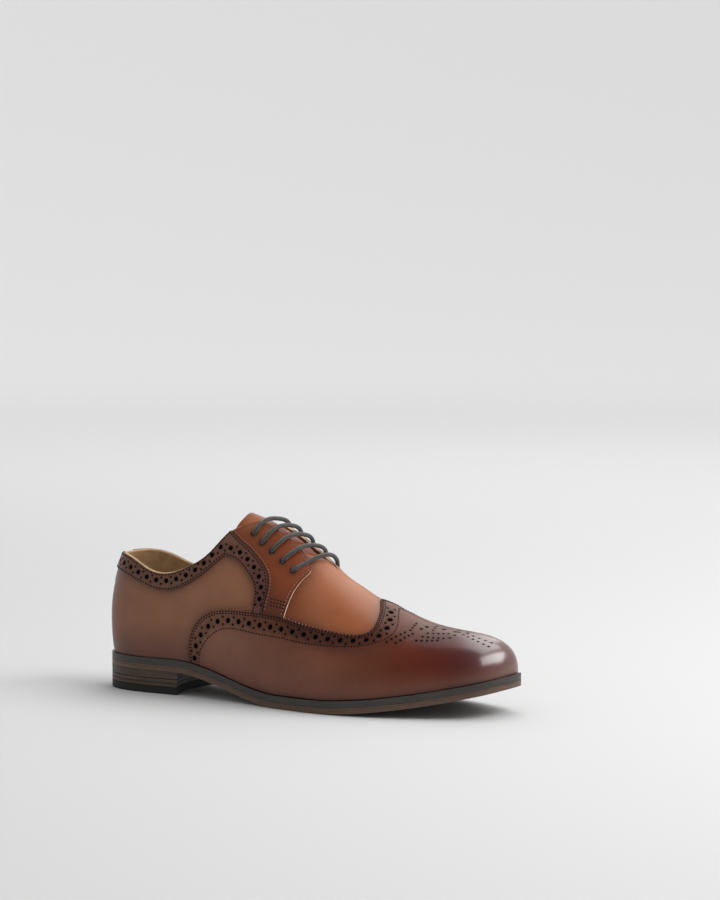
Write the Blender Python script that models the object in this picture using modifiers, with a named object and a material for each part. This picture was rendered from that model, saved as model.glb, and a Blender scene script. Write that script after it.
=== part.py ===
"""A right-foot brogue shoe: a laced derby with a winged toe cap on a stacked leather heel.

Every piece of the upper is read from one surface, the last. It is a family of ribs that go
round the foot. Each rib starts on the feather line, where the upper meets the sole, and ends
on the ridge along the top of the foot. A place on the last is two shares: "around", from the
back of the heel (0) by the lateral side to the toe (0.5) and back by the medial side (1), and
"up", from the feather line (0) to the ridge (1).

Metres, +X to the toe, +Y to the medial side, +Z up. The origin is the middle of the heel's
ground face.
"""
from collections import namedtuple

import bmesh
import bpy
import numpy as np
from mathutils import Matrix, Vector

# Driving sizes
LENGTH = 0.305
BALL_WIDTH = 0.095
INSTEP_HEIGHT = 0.125
HEEL_HEIGHT = 0.0155
HEEL_LENGTH = 0.067
TOE_SPRING = 0.0185

# Thicknesses
UPPER_WALL = 0.0018
OVERLAY_WALL = 0.0012
TONGUE_WALL = 0.0026
INSOLE_THICK = 0.0025
MIDSOLE_THICK = 0.0043
OUTSOLE_THICK = 0.0038
TOP_PIECE_THICK = 0.0050
LACE_THICK = 0.0030

# Fits and small features
CLEARANCE = 0.0003
SEAM = 0.0006
HEEL_MARGIN = 0.0016
FOREPART_MARGIN = 0.0036
INSOLE_EASE = 0.0008
TONGUE_GAP = 0.0009
BREAST_DIP = 0.0070
EYELET_DIAMETER = 0.0036
EYELET_DEPTH = 0.012
MEDIAL_LEAD = 0.0090
LACE_RISE = 0.0007
LACE_END_GAP = 0.0006
BAR_ARCH = 0.10
CROSSING_SINK = 0.0010

# Shares of the length where the sole's underside changes
SHANK_START = 0.205
TREAD_START = 0.505
TREAD_END = 0.600
SPRING_POWER = 1.7
MARGIN_START = 0.25
MARGIN_END = 0.60

# The heel's leather lifts, from the outsole down, as shares of the leather stack
LIFTS = (0.48, 0.27, 0.25)

# Sections of the last. along and crest are shares of the length: where the rib starts on the
# feather line and where it reaches the ridge. lateral and medial are the feather line's half
# widths, roof and lean shape the rib's top and foot, all as shares of the ball width. rise, the
# upright reach of the rib's foot, is a share of the instep height.
Section = namedtuple("Section", "along lateral medial crest rise roof lean")
SECTIONS = (
    Section(0.008, 0.000, 0.000, 0.170, 0.445, 0.270, 0.110),
    Section(0.035, 0.180, 0.185, 0.170, 0.445, 0.250, 0.108),
    Section(0.110, 0.280, 0.285, 0.180, 0.445, 0.170, 0.095),
    Section(0.200, 0.295, 0.290, 0.220, 0.435, 0.150, 0.074),
    Section(0.300, 0.322, 0.275, 0.290, 0.415, 0.170, 0.055),
    Section(0.400, 0.381, 0.270, 0.370, 0.365, 0.195, 0.045),
    Section(0.500, 0.455, 0.310, 0.460, 0.295, 0.200, 0.040),
    Section(0.600, 0.508, 0.405, 0.560, 0.225, 0.205, 0.036),
    Section(0.680, 0.508, 0.470, 0.635, 0.186, 0.220, 0.032),
    Section(0.760, 0.461, 0.482, 0.705, 0.163, 0.235, 0.026),
    Section(0.840, 0.376, 0.432, 0.770, 0.147, 0.235, 0.021),
    Section(0.910, 0.284, 0.345, 0.825, 0.135, 0.240, 0.017),
    Section(0.960, 0.186, 0.252, 0.860, 0.128, 0.250, 0.015),
    Section(0.985, -0.085, 0.085, 0.880, 0.127, 0.255, 0.014),
)

# The ridge: height is a share of the instep height, aside a share of the ball width.
Ridge = namedtuple("Ridge", "along height aside")
RIDGE = (
    Ridge(0.10, 1.030, 0.000),
    Ridge(0.20, 1.040, 0.010),
    Ridge(0.30, 1.030, 0.030),
    Ridge(0.38, 0.985, 0.042),
    Ridge(0.46, 0.893, 0.048),
    Ridge(0.54, 0.750, 0.052),
    Ridge(0.62, 0.620, 0.058),
    Ridge(0.70, 0.518, 0.065),
    Ridge(0.78, 0.443, 0.074),
    Ridge(0.86, 0.411, 0.083),
    Ridge(0.94, 0.397, 0.085),
)

# Lines drawn on the last, lateral side, as places (around, up)
Place = namedtuple("Place", "around up")
TOPLINE = (
    Place(0.000, 0.452),
    Place(0.049, 0.437),
    Place(0.075, 0.388),
    Place(0.092, 0.373),
    Place(0.111, 0.387),
    Place(0.132, 0.437),
    Place(0.154, 0.540),
    Place(0.174, 0.690),
    Place(0.190, 0.765),
    Place(0.206, 0.845),
)
THROAT = (
    Place(0.206, 0.845),
    Place(0.222, 0.855),
    Place(0.240, 0.845),
    Place(0.258, 0.845),
    Place(0.270, 0.880),
    Place(0.284, 1.000),
)
FACING_FRONT = (
    Place(0.206, 0.845),
    Place(0.222, 0.855),
    Place(0.240, 0.845),
    Place(0.256, 0.842),
    Place(0.267, 0.805),
    Place(0.273, 0.755),
    Place(0.270, 0.690),
    Place(0.258, 0.520),
    Place(0.253, 0.410),
)
FACING_REAR = (
    Place(0.174, 0.680),
    Place(0.189, 0.645),
    Place(0.202, 0.625),
    Place(0.213, 0.600),
    Place(0.224, 0.565),
    Place(0.229, 0.510),
    Place(0.228, 0.440),
    Place(0.226, 0.375),
)
BAND_LOWER = (
    Place(0.000, 0.372),
    Place(0.035, 0.368),
    Place(0.071, 0.320),
    Place(0.098, 0.295),
    Place(0.126, 0.335),
    Place(0.143, 0.395),
    Place(0.170, 0.535),
)
STRIP_REAR = (
    Place(0.170, 0.535),
    Place(0.187, 0.540),
    Place(0.200, 0.515),
    Place(0.209, 0.487),
    Place(0.214, 0.445),
    Place(0.214, 0.400),
    Place(0.213, 0.352),
)
WING_EDGE = (
    Place(0.1325, 0.070),
    Place(0.136, 0.130),
    Place(0.146, 0.200),
    Place(0.169, 0.275),
    Place(0.204, 0.335),
    Place(0.243, 0.390),
    Place(0.279, 0.427),
    Place(0.313, 0.470),
    Place(0.338, 0.515),
    Place(0.350, 0.585),
)
WING_PEAK = 0.3535
CAP_FOOT = 0.012
TONGUE_TOP = (
    Place(0.180, 0.640),
    Place(0.177, 0.690),
    Place(0.182, 0.820),
    Place(0.190, 1.000),
)
TONGUE_FRONT = 0.305
TONGUE_EDGE = 0.640
EYELETS = (
    Place(0.203, 0.730),
    Place(0.215, 0.700),
    Place(0.228, 0.685),
    Place(0.242, 0.668),
    Place(0.255, 0.658),
)
BACKSTAY_AROUND = 0.0075
BACKSTAY_LOW = 0.300
BACKSTAY_HIGH = 0.448

# Shares of the half round between which the medial side's lead comes in
LEAD_START = 0.100
LEAD_END = 0.180

# How far above the wing's edge, in height shares, the medial side's lines still follow it
WING_REACH = 0.250

# Mesh steps
UPPER_COLUMNS = 78
UPPER_ROWS = 12
ROW_CROWDING = 0.85
END_CROWDING = 0.45
WING_COLUMNS = 19
WING_ROWS = 8
PEAK_ROWS = 5
COLLAR_STEPS = 21
COLLAR_CROWDING = 1.25
STRIP_STEPS = 16
STRIP_ROWS = 3
FACING_ROWS = 6
BACKSTAY_STEPS = 5
TONGUE_COLUMNS = 7
TONGUE_STEPS = 14
SOLE_STATIONS = 38
SOLE_ROWS = 2
HEEL_STATIONS = 10
HEEL_ROWS = 6
LACE_STEPS = 11
LACE_SIDES = 6
CROSSING_STEPS = 4
EYELET_SIDES = 8
SEARCH_STEPS = 400
NORMAL_STEP = 0.0005
MERGE_DISTANCE = 0.00002
SHARP_ANGLE = 40

Finish = namedtuple("Finish", "color roughness")
TAN_LEATHER = Finish((0.33, 0.115, 0.035), 0.30)
BROWN_LEATHER = Finish((0.16, 0.075, 0.045), 0.38)
PLUM_LEATHER = Finish((0.10, 0.040, 0.032), 0.36)
TOE_LEATHER = Finish((0.13, 0.035, 0.022), 0.24)
LINING = Finish((0.45, 0.32, 0.19), 0.60)
WELT_DARK = Finish((0.060, 0.058, 0.052), 0.45)
SOLE_LEATHER = Finish((0.15, 0.085, 0.050), 0.50)
HEEL_RUBBER = Finish((0.035, 0.034, 0.033), 0.60)
LACE_CORD = Finish((0.055, 0.055, 0.050), 0.65)


class Curve:
    """A smooth curve through rows of values at rising places, open or closed."""

    def __init__(self, places, rows, closed=False):
        self.places = np.asarray(places, float)
        self.rows = np.asarray(rows, float)
        self.closed = closed
        self.slopes = self._solve()

    def _solve(self):
        step = np.diff(self.places)
        grade = np.diff(self.rows, axis=0) / step[:, None]
        count = len(step) if self.closed else len(self.places)
        matrix = np.zeros((count, count))
        right = np.zeros((count, self.rows.shape[1]))
        inner = range(count) if self.closed else range(1, count - 1)
        for i in inner:
            before = step[i - 1]
            after = step[i]
            matrix[i, i - 1] += 1 / before
            matrix[i, i] += 2 / before + 2 / after
            matrix[i, (i + 1) % count] += 1 / after
            right[i] = 3 * (grade[i - 1] / before + grade[i] / after)
        if self.closed:
            slopes = np.linalg.solve(matrix, right)
            return np.vstack([slopes, slopes[:1]])
        matrix[0, 0] = matrix[-1, -1] = 2
        matrix[0, 1] = matrix[-1, -2] = 1
        right[0] = 3 * grade[0]
        right[-1] = 3 * grade[-1]
        return np.linalg.solve(matrix, right)

    def _locate(self, at):
        low, high = self.places[0], self.places[-1]
        if self.closed:
            at = (at - low) % (high - low) + low
        else:
            at = np.clip(at, low, high)
        i = np.clip(np.searchsorted(self.places, at, side="right") - 1, 0, len(self.places) - 2)
        step = (self.places[i + 1] - self.places[i])[..., None]
        return i, step, (at - self.places[i])[..., None] / step

    def __call__(self, at):
        """The curve's values at the places."""
        i, step, u = self._locate(np.asarray(at, float))
        start = self.rows[i] * (1 + 2 * u) * (1 - u) ** 2 + self.slopes[i] * step * u * (1 - u) ** 2
        end = self.rows[i + 1] * (3 - 2 * u) * u ** 2 + self.slopes[i + 1] * step * (u - 1) * u ** 2
        return start + end

    def slope(self, at):
        """The curve's slopes at the places."""
        i, step, u = self._locate(np.asarray(at, float))
        rise = (self.rows[i + 1] - self.rows[i]) / step * 6 * u * (1 - u)
        start = self.slopes[i] * (1 - u) * (1 - 3 * u)
        end = self.slopes[i + 1] * u * (3 * u - 2)
        return rise + start + end


def ease(share):
    """A smooth step from 0 to 1."""
    share = np.clip(share, 0, 1)
    return share * share * (3 - 2 * share)


def ground(x):
    """Height of the outsole's underside: heel seat, shank, flat tread and toe spring."""
    shank = (x / LENGTH - SHANK_START) / (TREAD_START - SHANK_START)
    spring = np.clip((x / LENGTH - TREAD_END) / (1 - TREAD_END), 0, 1)
    return HEEL_HEIGHT * (1 - ease(shank)) + TOE_SPRING * spring ** SPRING_POWER


FEATHER_LIFT = OUTSOLE_THICK + MIDSOLE_THICK + 2 * CLEARANCE


def feather_loop():
    """The feather line, with the shape of the rib at each place, round the last."""
    lateral = [(s.along * LENGTH, -s.lateral * BALL_WIDTH) + s[3:] for s in SECTIONS]
    medial = [(s.along * LENGTH, s.medial * BALL_WIDTH) + s[3:] for s in SECTIONS]
    outer, inner = np.array(lateral), np.array(medial)
    reach = [np.hypot(*np.diff(side[:, :2], axis=0).T) for side in (outer, inner)]
    steps = np.cumsum(sum(reach))
    half = np.concatenate([[0], steps]) / steps[-1] / 2
    places = np.concatenate([half, 1 - half[-2::-1]])
    return Curve(places, np.vstack([outer, inner[-2::-1]]), closed=True), steps[-1]


FEATHER, PERIMETER = feather_loop()
RIDGE_LINE = Curve([r.along for r in RIDGE], [r[1:] for r in RIDGE])

# A rib's usual length, which turns lengths into height shares
RIB_LENGTH = 0.9 * INSTEP_HEIGHT
SEAM_AROUND = SEAM / PERIMETER
SEAM_UP = SEAM / RIB_LENGTH


def feather_normal(around):
    """Outward direction in plan along the feather line."""
    run = FEATHER.slope(around)[..., :2]
    run = run / np.linalg.norm(run, axis=-1, keepdims=True)
    return np.stack([run[..., 1], -run[..., 0]], -1)


def last_point(around, up):
    """Points of the last at places on it."""
    x, y, crest, rise, roof, lean = np.moveaxis(FEATHER(around), -1, 0)
    foot = np.stack([x, y, ground(x) + FEATHER_LIFT], -1)
    wall = foot.copy()
    wall[..., :2] += feather_normal(around) * (lean * BALL_WIDTH)[..., None]
    wall[..., 2] += rise * INSTEP_HEIGHT
    height, aside = np.moveaxis(RIDGE_LINE(crest), -1, 0)
    grade = ridge_grade(crest)
    top = np.stack([crest * LENGTH, aside * BALL_WIDTH, height * INSTEP_HEIGHT], -1)
    away = (foot - top)[..., :2]
    away = away / np.linalg.norm(away, axis=-1, keepdims=True)
    reach = (roof * BALL_WIDTH)[..., None]
    shoulder = top + reach * np.stack([away[..., 0], away[..., 1], grade * away[..., 0]], -1)
    v = up[..., None]
    low = (1 - v) ** 3 * foot + 3 * (1 - v) ** 2 * v * wall
    return low + 3 * (1 - v) * v ** 2 * shoulder + v ** 3 * top


def ridge_grade(crest):
    """Slope of the ridge, rise over run."""
    return RIDGE_LINE.slope(crest)[..., 0] * INSTEP_HEIGHT / LENGTH


def last_normal(around, up):
    """Outward unit normals of the last."""
    low = np.clip(up - NORMAL_STEP, 0, 1)
    high = np.clip(up + NORMAL_STEP, 0, 1)
    along = last_point(around + NORMAL_STEP, up) - last_point(around - NORMAL_STEP, up)
    rise = last_point(around, high) - last_point(around, low)
    normal = np.cross(along, rise)
    grade = ridge_grade(FEATHER(around)[..., 2])
    over = np.stack([-grade, np.zeros_like(grade), np.ones_like(grade)], -1)
    normal = np.where((up > 1 - 2 * NORMAL_STEP)[..., None], over, normal)
    return normal / np.linalg.norm(normal, axis=-1, keepdims=True)


def skin(around, up, lift=0.0):
    """Points over the last, raised along its normal by lift."""
    around, up = np.broadcast_arrays(np.asarray(around, float), np.asarray(up, float))
    return last_point(around, up) + lift * last_normal(around, up)


def drawn(line):
    """A drawn line as a curve over 0 to 1, stepped by its real length."""
    rows = np.array(line)
    steps = np.diff(rows, axis=0) * (PERIMETER, RIB_LENGTH)
    places = np.concatenate([[0], np.cumsum(np.hypot(*steps.T))])
    return Curve(places / places[-1], rows)


def by_around(line):
    """A drawn line that never turns back, as heights over its places around."""
    return Curve([place.around for place in line], [[place.up] for place in line])


def by_height(line):
    """A drawn line that rises all the way, as places around over its heights."""
    return Curve([place.up for place in line], [[place.around] for place in line])


TOPLINE_UP = by_around(TOPLINE)
THROAT_UP = by_around(THROAT)
BAND_UP = by_around(BAND_LOWER)
WING_UP = by_around(WING_EDGE)


def lead(around):
    """How far the medial facing sits ahead of the lateral one, as a share of the round."""
    share = (around - LEAD_START) / (LEAD_END - LEAD_START)
    return MEDIAL_LEAD / PERIMETER * ease(share)


def opening(around):
    """Height share of the upper's free edge: collar, throat, then closed over the vamp."""
    medial = around > 0.5
    half = np.where(medial, 1 - around, around)
    half = half - np.where(medial, lead(half), 0)
    up = np.where(half < TOPLINE[-1].around, TOPLINE_UP(half)[..., 0], THROAT_UP(half)[..., 0])
    return np.where(half >= THROAT[-1].around, 1.0, up)


def to_side(places, medial):
    """Places of the lateral side, or their partners on the medial side, a lead ahead.

    Near the wing's edge a partner also rises with that edge, so what ends on it still does.
    """
    places = np.asarray(places, float)
    if not medial:
        return places
    around, up = places[..., 0], places[..., 1]
    moved = around + lead(around)
    edge = WING_UP(around)[..., 0]
    near = np.clip(1 - (up - edge) / WING_REACH, 0, 1)
    up = up + near * (WING_UP(moved)[..., 0] - edge)
    return np.stack([1 - moved, up], -1)


def make_collections():
    """The scene emptied, with one collection for the shoe and one for its cutters."""
    for item in list(bpy.data.objects):
        bpy.data.objects.remove(item, do_unlink=True)
    made = []
    for name in ("brogue_shoe", "cutters"):
        group = bpy.data.collections.new(name)
        bpy.context.scene.collection.children.link(group)
        made.append(group)
    return made


SHOE, CUTTERS = make_collections()


def material(name, finish):
    """A plain material of the finish's colour and roughness."""
    made = bpy.data.materials.new(name)
    made.use_nodes = True
    shader = made.node_tree.nodes["Principled BSDF"]
    shader.inputs["Base Color"].default_value = (*finish.color, 1.0)
    shader.inputs["Roughness"].default_value = finish.roughness
    shader.inputs["Metallic"].default_value = 0.0
    return made


def add_object(name, mesh, finish, group=None):
    """An object of the mesh in the shoe, moved so that the heel's middle is the origin."""
    made = bpy.data.objects.new(name, mesh)
    (group or SHOE).objects.link(made)
    made.location = (-HEEL_MIDDLE, 0, 0)
    if finish:
        mesh.materials.append(material(name, finish))
    return made


def smooth_mesh(name, points, faces):
    """A mesh with doubled points joined, empty faces dropped and round faces smooth."""
    mesh = bpy.data.meshes.new(name)
    mesh.from_pydata([tuple(p) for p in points], [], faces)
    work = bmesh.new()
    work.from_mesh(mesh)
    bmesh.ops.remove_doubles(work, verts=work.verts, dist=MERGE_DISTANCE)
    bmesh.ops.dissolve_degenerate(work, dist=MERGE_DISTANCE / 2, edges=work.edges)
    work.to_mesh(mesh)
    work.free()
    mesh.shade_smooth()
    mesh.set_sharp_from_angle(angle=np.radians(SHARP_ANGLE))
    return mesh


def grid_faces(columns, rows, closed=False):
    """Quads of a grid whose points run up each column in turn, seen from outside."""
    faces = []
    for i in range(columns if closed else columns - 1):
        after = (i + 1) % columns
        for j in range(rows - 1):
            a, b = i * rows + j, after * rows + j
            faces.append((a, b, b + 1, a + 1))
    return faces


def thicken(item, thickness, outward):
    """Gives an open surface its wall, to the inside or the outside."""
    solid = item.modifiers.new("wall", "SOLIDIFY")
    solid.thickness = thickness
    solid.offset = 1 if outward else -1
    solid.use_even_offset = True


def crowded(count):
    """Places once round the last, closer together at the heel and the toe."""
    share = np.arange(count) / count
    return share - END_CROWDING * np.sin(4 * np.pi * share) / (4 * np.pi)


def rising(rows):
    """Height shares of a piece's rows, closer together where the ribs bend over the foot."""
    return np.linspace(0, 1, rows)[None] ** ROW_CROWDING


def make_upper():
    """Vamp and quarters: one hollow wall, open underneath, at the collar and at the throat."""
    around = crowded(UPPER_COLUMNS)[:, None]
    up = opening(around) * rising(UPPER_ROWS)
    around, up = np.broadcast_arrays(around, up)
    points = skin(around, up).reshape(-1, 3)
    mesh = smooth_mesh("upper", points, grid_faces(UPPER_COLUMNS, UPPER_ROWS, closed=True))
    item = add_object("upper", mesh, BROWN_LEATHER)
    thicken(item, UPPER_WALL, outward=False)
    return item


def patch(first, last, rows):
    """Points and outward faces between two lines of as many places, just off the last."""
    share = rising(rows)[..., None]
    places = first[:, None] * (1 - share) + last[:, None] * share
    points = skin(places[..., 0], places[..., 1], CLEARANCE)
    middle = len(first) // 2
    along = points[middle, 0] - points[middle - 1, 0]
    across = points[middle, -1] - points[middle, 0]
    out = last_normal(*places[middle, :1].T)[0]
    faces = grid_faces(len(first), rows)
    if np.dot(np.cross(along, across), out) < 0:
        faces = [face[::-1] for face in faces]
    return points.reshape(-1, 3), faces


def panel(name, patches, finish):
    """A panel laid over the last, joined from patches that share their edges."""
    points, faces = [], []
    for some_points, some_faces in patches:
        count = sum(len(group) for group in points)
        points.append(some_points)
        faces += [[i + count for i in face] for face in some_faces]
    item = add_object(name, smooth_mesh(name, np.vstack(points), faces), finish)
    thicken(item, OVERLAY_WALL, outward=True)
    return item


def make_wing_cap():
    """The winged toe cap: its wings along the feather line, and its peak over the ridge."""
    wing = np.linspace(WING_EDGE[0].around, WING_EDGE[-1].around, WING_COLUMNS)
    toe = crowded(UPPER_COLUMNS)
    toe = toe[(toe > WING_PEAK + SEAM_AROUND) & (toe <= 0.5)]
    toe = np.concatenate([[WING_PEAK], toe])
    wing = np.concatenate([wing, toe])
    low = both_sides(wing, np.full_like(wing, CAP_FOOT))
    middle = both_sides(wing, WING_UP(wing)[:, 0])
    shoulder = both_sides(toe, np.full_like(toe, WING_EDGE[-1].up))
    ridge = both_sides(toe, np.ones_like(toe))
    patches = [patch(low, middle, WING_ROWS), patch(shoulder, ridge, PEAK_ROWS)]
    return panel("wing_cap", patches, TOE_LEATHER)


def both_sides(around, up):
    """Places of a line on the lateral side to the toe, then the same on the medial side."""
    lateral = np.stack([around, up], -1)
    return np.vstack([lateral, lateral[-2::-1] * (-1, 1) + (1, 0)])


def make_facing(side, medial):
    """A facing: the quarter's front panel, with the row of eyelets."""
    share = np.linspace(0, 1, STRIP_STEPS)
    rear = drawn(FACING_REAR)(share)
    front = drawn(FACING_FRONT)(share)
    rear += (SEAM_AROUND, SEAM_UP)
    rear[-1, 1] = WING_UP(rear[-1, 0])[0] + SEAM_UP
    front[-1, 1] = WING_UP(front[-1, 0])[0] + SEAM_UP
    patches = [patch(to_side(rear, medial), to_side(front, medial), FACING_ROWS)]
    return panel("facing_" + side, patches, TAN_LEATHER)


def make_trim(side, medial):
    """The brogued strip: along the collar from the backstay, then down to the wing."""
    collar = np.linspace(0, 1, COLLAR_STEPS) ** COLLAR_CROWDING
    down = np.linspace(0, 1, STRIP_STEPS)[1:]
    start = BACKSTAY_AROUND + SEAM_AROUND
    edges = []
    for height, end in ((TOPLINE_UP, FACING_REAR[0]), (BAND_UP, STRIP_REAR[0])):
        around = start + (end.around - start) * collar
        edges.append(np.stack([around, height(around)[:, 0]], -1))
    outer = np.vstack([edges[0], drawn(FACING_REAR)(down)])
    inner = np.vstack([edges[1], drawn(STRIP_REAR)(down)])
    for line in (outer, inner):
        line[-1, 1] = WING_UP(line[-1, 0])[0] + SEAM_UP
    patches = [patch(to_side(inner, medial), to_side(outer, medial), STRIP_ROWS)]
    return panel("trim_" + side, patches, PLUM_LEATHER)


def make_backstay():
    """The narrow tab that covers the back seam under the collar's edge."""
    around = np.linspace(-BACKSTAY_AROUND, BACKSTAY_AROUND, BACKSTAY_STEPS)
    low = np.stack([around, np.full_like(around, BACKSTAY_LOW)], -1)
    high = np.stack([around, np.full_like(around, BACKSTAY_HIGH)], -1)
    return panel("backstay", [patch(low, high, BACKSTAY_STEPS)], PLUM_LEATHER)


def make_tongue():
    """The tongue, under the facings from the vamp to its rounded top."""
    top_line = by_height(TONGUE_TOP)
    half = np.linspace(TONGUE_EDGE, 1, TONGUE_COLUMNS)
    steps = np.linspace(0, 1, TONGUE_STEPS)
    columns = []
    for up in half:
        start = top_line(up)[0]
        around = start + (TONGUE_FRONT - start) * steps
        columns.append(np.stack([around, np.full_like(around, up)], -1))
    lateral = np.array(columns)
    medial = lateral[-2::-1] * (-1, 1) + (1, 0)
    places = np.concatenate([lateral, medial])
    lift = -UPPER_WALL - TONGUE_GAP
    points = skin(places[..., 0], places[..., 1], lift).reshape(-1, 3)
    mesh = smooth_mesh("tongue", points, [f[::-1] for f in grid_faces(len(places), len(steps))])
    item = add_object("tongue", mesh, TAN_LEATHER)
    thicken(item, TONGUE_WALL, outward=False)
    return item


def sole_edge(around, inset=0.0):
    """The sole's outline in plan: the feather line with its margin, or drawn in by inset."""
    line = FEATHER(around)[..., :2]
    if inset:
        return line - feather_normal(around) * inset
    share = (line[..., 0] / LENGTH - MARGIN_START) / (MARGIN_END - MARGIN_START)
    margin = HEEL_MARGIN + (FOREPART_MARGIN - HEEL_MARGIN) * ease(share)
    return line + feather_normal(around) * margin[..., None]


HEEL_BACK = float(sole_edge(np.array(0.0))[0])
HEEL_MIDDLE = HEEL_BACK + HEEL_LENGTH / 2


def stations(count):
    """Places along the lateral side, close together at both ends."""
    share = (1 - np.cos(np.pi * np.arange(count + 1) / count)) / 2
    return share / 2


def slab(name, lateral, medial, bottom, top, finish, rows=SOLE_ROWS):
    """A solid between two edges and two heights, each a function of the points' x."""
    share = np.linspace(0, 1, rows + 1)[None, :, None]
    plan = lateral[:, None] * (1 - share) + medial[:, None] * share
    columns, rows = plan.shape[:2]
    flat = plan.reshape(-1, 2)
    low = np.column_stack([flat, bottom(flat[:, 0])])
    high = np.column_stack([flat, top(flat[:, 0])])
    count = len(flat)
    over = grid_faces(columns, rows)
    faces = [[i + count for i in f] for f in over] + [f[::-1] for f in over]
    rim = [i * rows for i in range(columns)]
    rim += [(columns - 1) * rows + j for j in range(1, rows)]
    rim += [i * rows + rows - 1 for i in range(columns - 2, -1, -1)]
    rim += [j for j in range(rows - 2, 0, -1)]
    for a, b in zip(rim, rim[1:] + rim[:1]):
        faces.append((a, b, b + count, a + count))
    mesh = smooth_mesh(name, np.vstack([low, high]), faces)
    return add_object(name, mesh, finish)


def sole_layer(name, low, thick, finish, inset=0.0):
    """One layer of the bottom, following the sole's underside at a height above it."""
    around = stations(SOLE_STATIONS)
    lateral, medial = sole_edge(around, inset), sole_edge(1 - around, inset)
    return slab(name, lateral, medial, lambda x: ground(x) + low,
                lambda x: ground(x) + low + thick, finish)


def make_bottom():
    """Outsole, midsole and insole."""
    low = 0.0
    for name, thick, finish, inset in (
        ("outsole", OUTSOLE_THICK, SOLE_LEATHER, 0.0),
        ("midsole", MIDSOLE_THICK, WELT_DARK, 0.0),
        ("insole", INSOLE_THICK, LINING, UPPER_WALL + INSOLE_EASE),
    ):
        sole_layer(name, low, thick, finish, inset)
        low += thick + CLEARANCE


def heel_edges():
    """The heel block's two edges, from its back to the curved breast."""
    breast = HEEL_BACK + HEEL_LENGTH
    fine = np.linspace(0, 0.25, SEARCH_STEPS)
    ends = [np.interp(breast, sole_edge(side)[:, 0], fine) for side in (fine, 1 - fine)]
    share = (1 - np.cos(np.pi / 2 * np.arange(HEEL_STATIONS + 1) / HEEL_STATIONS))
    share = np.clip(share, 0, 1)
    return sole_edge(ends[0] * share), sole_edge(1 - ends[1] * share)


def heel_layer(name, bottom, top, finish):
    """One flat layer of the heel, its breast curved back at the middle."""
    lateral, medial = heel_edges()
    item = slab(name, lateral, medial, lambda x: np.full_like(x, bottom),
                lambda x: np.full_like(x, top), finish, HEEL_ROWS)
    half = (medial[-1, 1] - lateral[-1, 1]) / 2
    middle = (medial[-1, 1] + lateral[-1, 1]) / 2
    for vertex in item.data.vertices:
        across = (vertex.co.y - middle) / half
        reach = (vertex.co.x - HEEL_BACK) / HEEL_LENGTH
        vertex.co.x -= BREAST_DIP * reach ** 2 * max(0.0, 1 - across ** 2)


def make_heel():
    """The leather lifts and the rubber top piece that the heel stands on."""
    stack = HEEL_HEIGHT - TOP_PIECE_THICK
    top = HEEL_HEIGHT
    for number, share in enumerate(LIFTS, start=1):
        bottom = top - share * stack
        heel_layer(f"heel_lift_{number}", bottom, top - CLEARANCE, SOLE_LEATHER)
        top = bottom
    heel_layer("heel_top_piece", 0.0, TOP_PIECE_THICK - CLEARANCE, HEEL_RUBBER)


def eyelet_places(medial):
    """Where the eyelets lie on one side."""
    return to_side(EYELETS, medial)


def punch_eyelets(pieces):
    """Cuts the eyelets through the facings and the upper behind them."""
    holes = bmesh.new()
    for medial in (False, True):
        for around, up in eyelet_places(medial):
            centre = Vector(skin(around, up))
            normal = Vector(last_normal(np.array(around), np.array(up)))
            turn = normal.to_track_quat("Z", "Y").to_matrix().to_4x4()
            bmesh.ops.create_cone(
                holes, cap_ends=True, segments=EYELET_SIDES,
                radius1=EYELET_DIAMETER / 2, radius2=EYELET_DIAMETER / 2,
                depth=EYELET_DEPTH, matrix=Matrix.Translation(centre) @ turn)
    mesh = bpy.data.meshes.new("eyelet_cutters")
    holes.to_mesh(mesh)
    holes.free()
    cutter = add_object("eyelet_cutters", mesh, None, CUTTERS)
    cutter.hide_render = True
    cutter.display_type = "WIRE"
    for item in pieces:
        cut = item.modifiers.new("eyelets", "BOOLEAN")
        cut.operation = "DIFFERENCE"
        cut.solver = "EXACT"
        cut.object = cutter


def tube(name, points, thickness):
    """A round cord along the points, as a closed mesh object."""
    curve = bpy.data.curves.new(name, "CURVE")
    curve.dimensions = "3D"
    curve.bevel_depth = thickness / 2
    curve.bevel_resolution = LACE_SIDES // 2 - 2
    curve.use_fill_caps = True
    line = curve.splines.new("POLY")
    line.points.add(len(points) - 1)
    for target, point in zip(line.points, points):
        target.co = (*point, 1.0)
    source = bpy.data.objects.new(name, curve)
    SHOE.objects.link(source)
    graph = bpy.context.evaluated_depsgraph_get()
    mesh = bpy.data.meshes.new_from_object(source.evaluated_get(graph))
    bpy.data.objects.remove(source, do_unlink=True)
    bpy.data.curves.remove(curve)
    work = bmesh.new()
    work.from_mesh(mesh)
    bmesh.ops.remove_doubles(work, verts=work.verts, dist=MERGE_DISTANCE / 2)
    bmesh.ops.recalc_face_normals(work, faces=work.faces)
    work.to_mesh(mesh)
    work.free()
    mesh.name = name
    mesh.materials.clear()
    return mesh


def edge_crossing(start, across, medial):
    """Where the plane through a point, square to a direction, meets one throat edge."""
    forward = np.linspace(THROAT[0].around, THROAT[-1].around, SEARCH_STEPS)
    places = to_side(np.stack([forward, THROAT_UP(forward)[..., 0]], -1), medial)
    over = CLEARANCE + OVERLAY_WALL + LACE_THICK / 2 + LACE_RISE
    edge = skin(places[..., 0], places[..., 1], over)
    return edge[np.argmin(np.abs((edge - start) @ across))]


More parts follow.
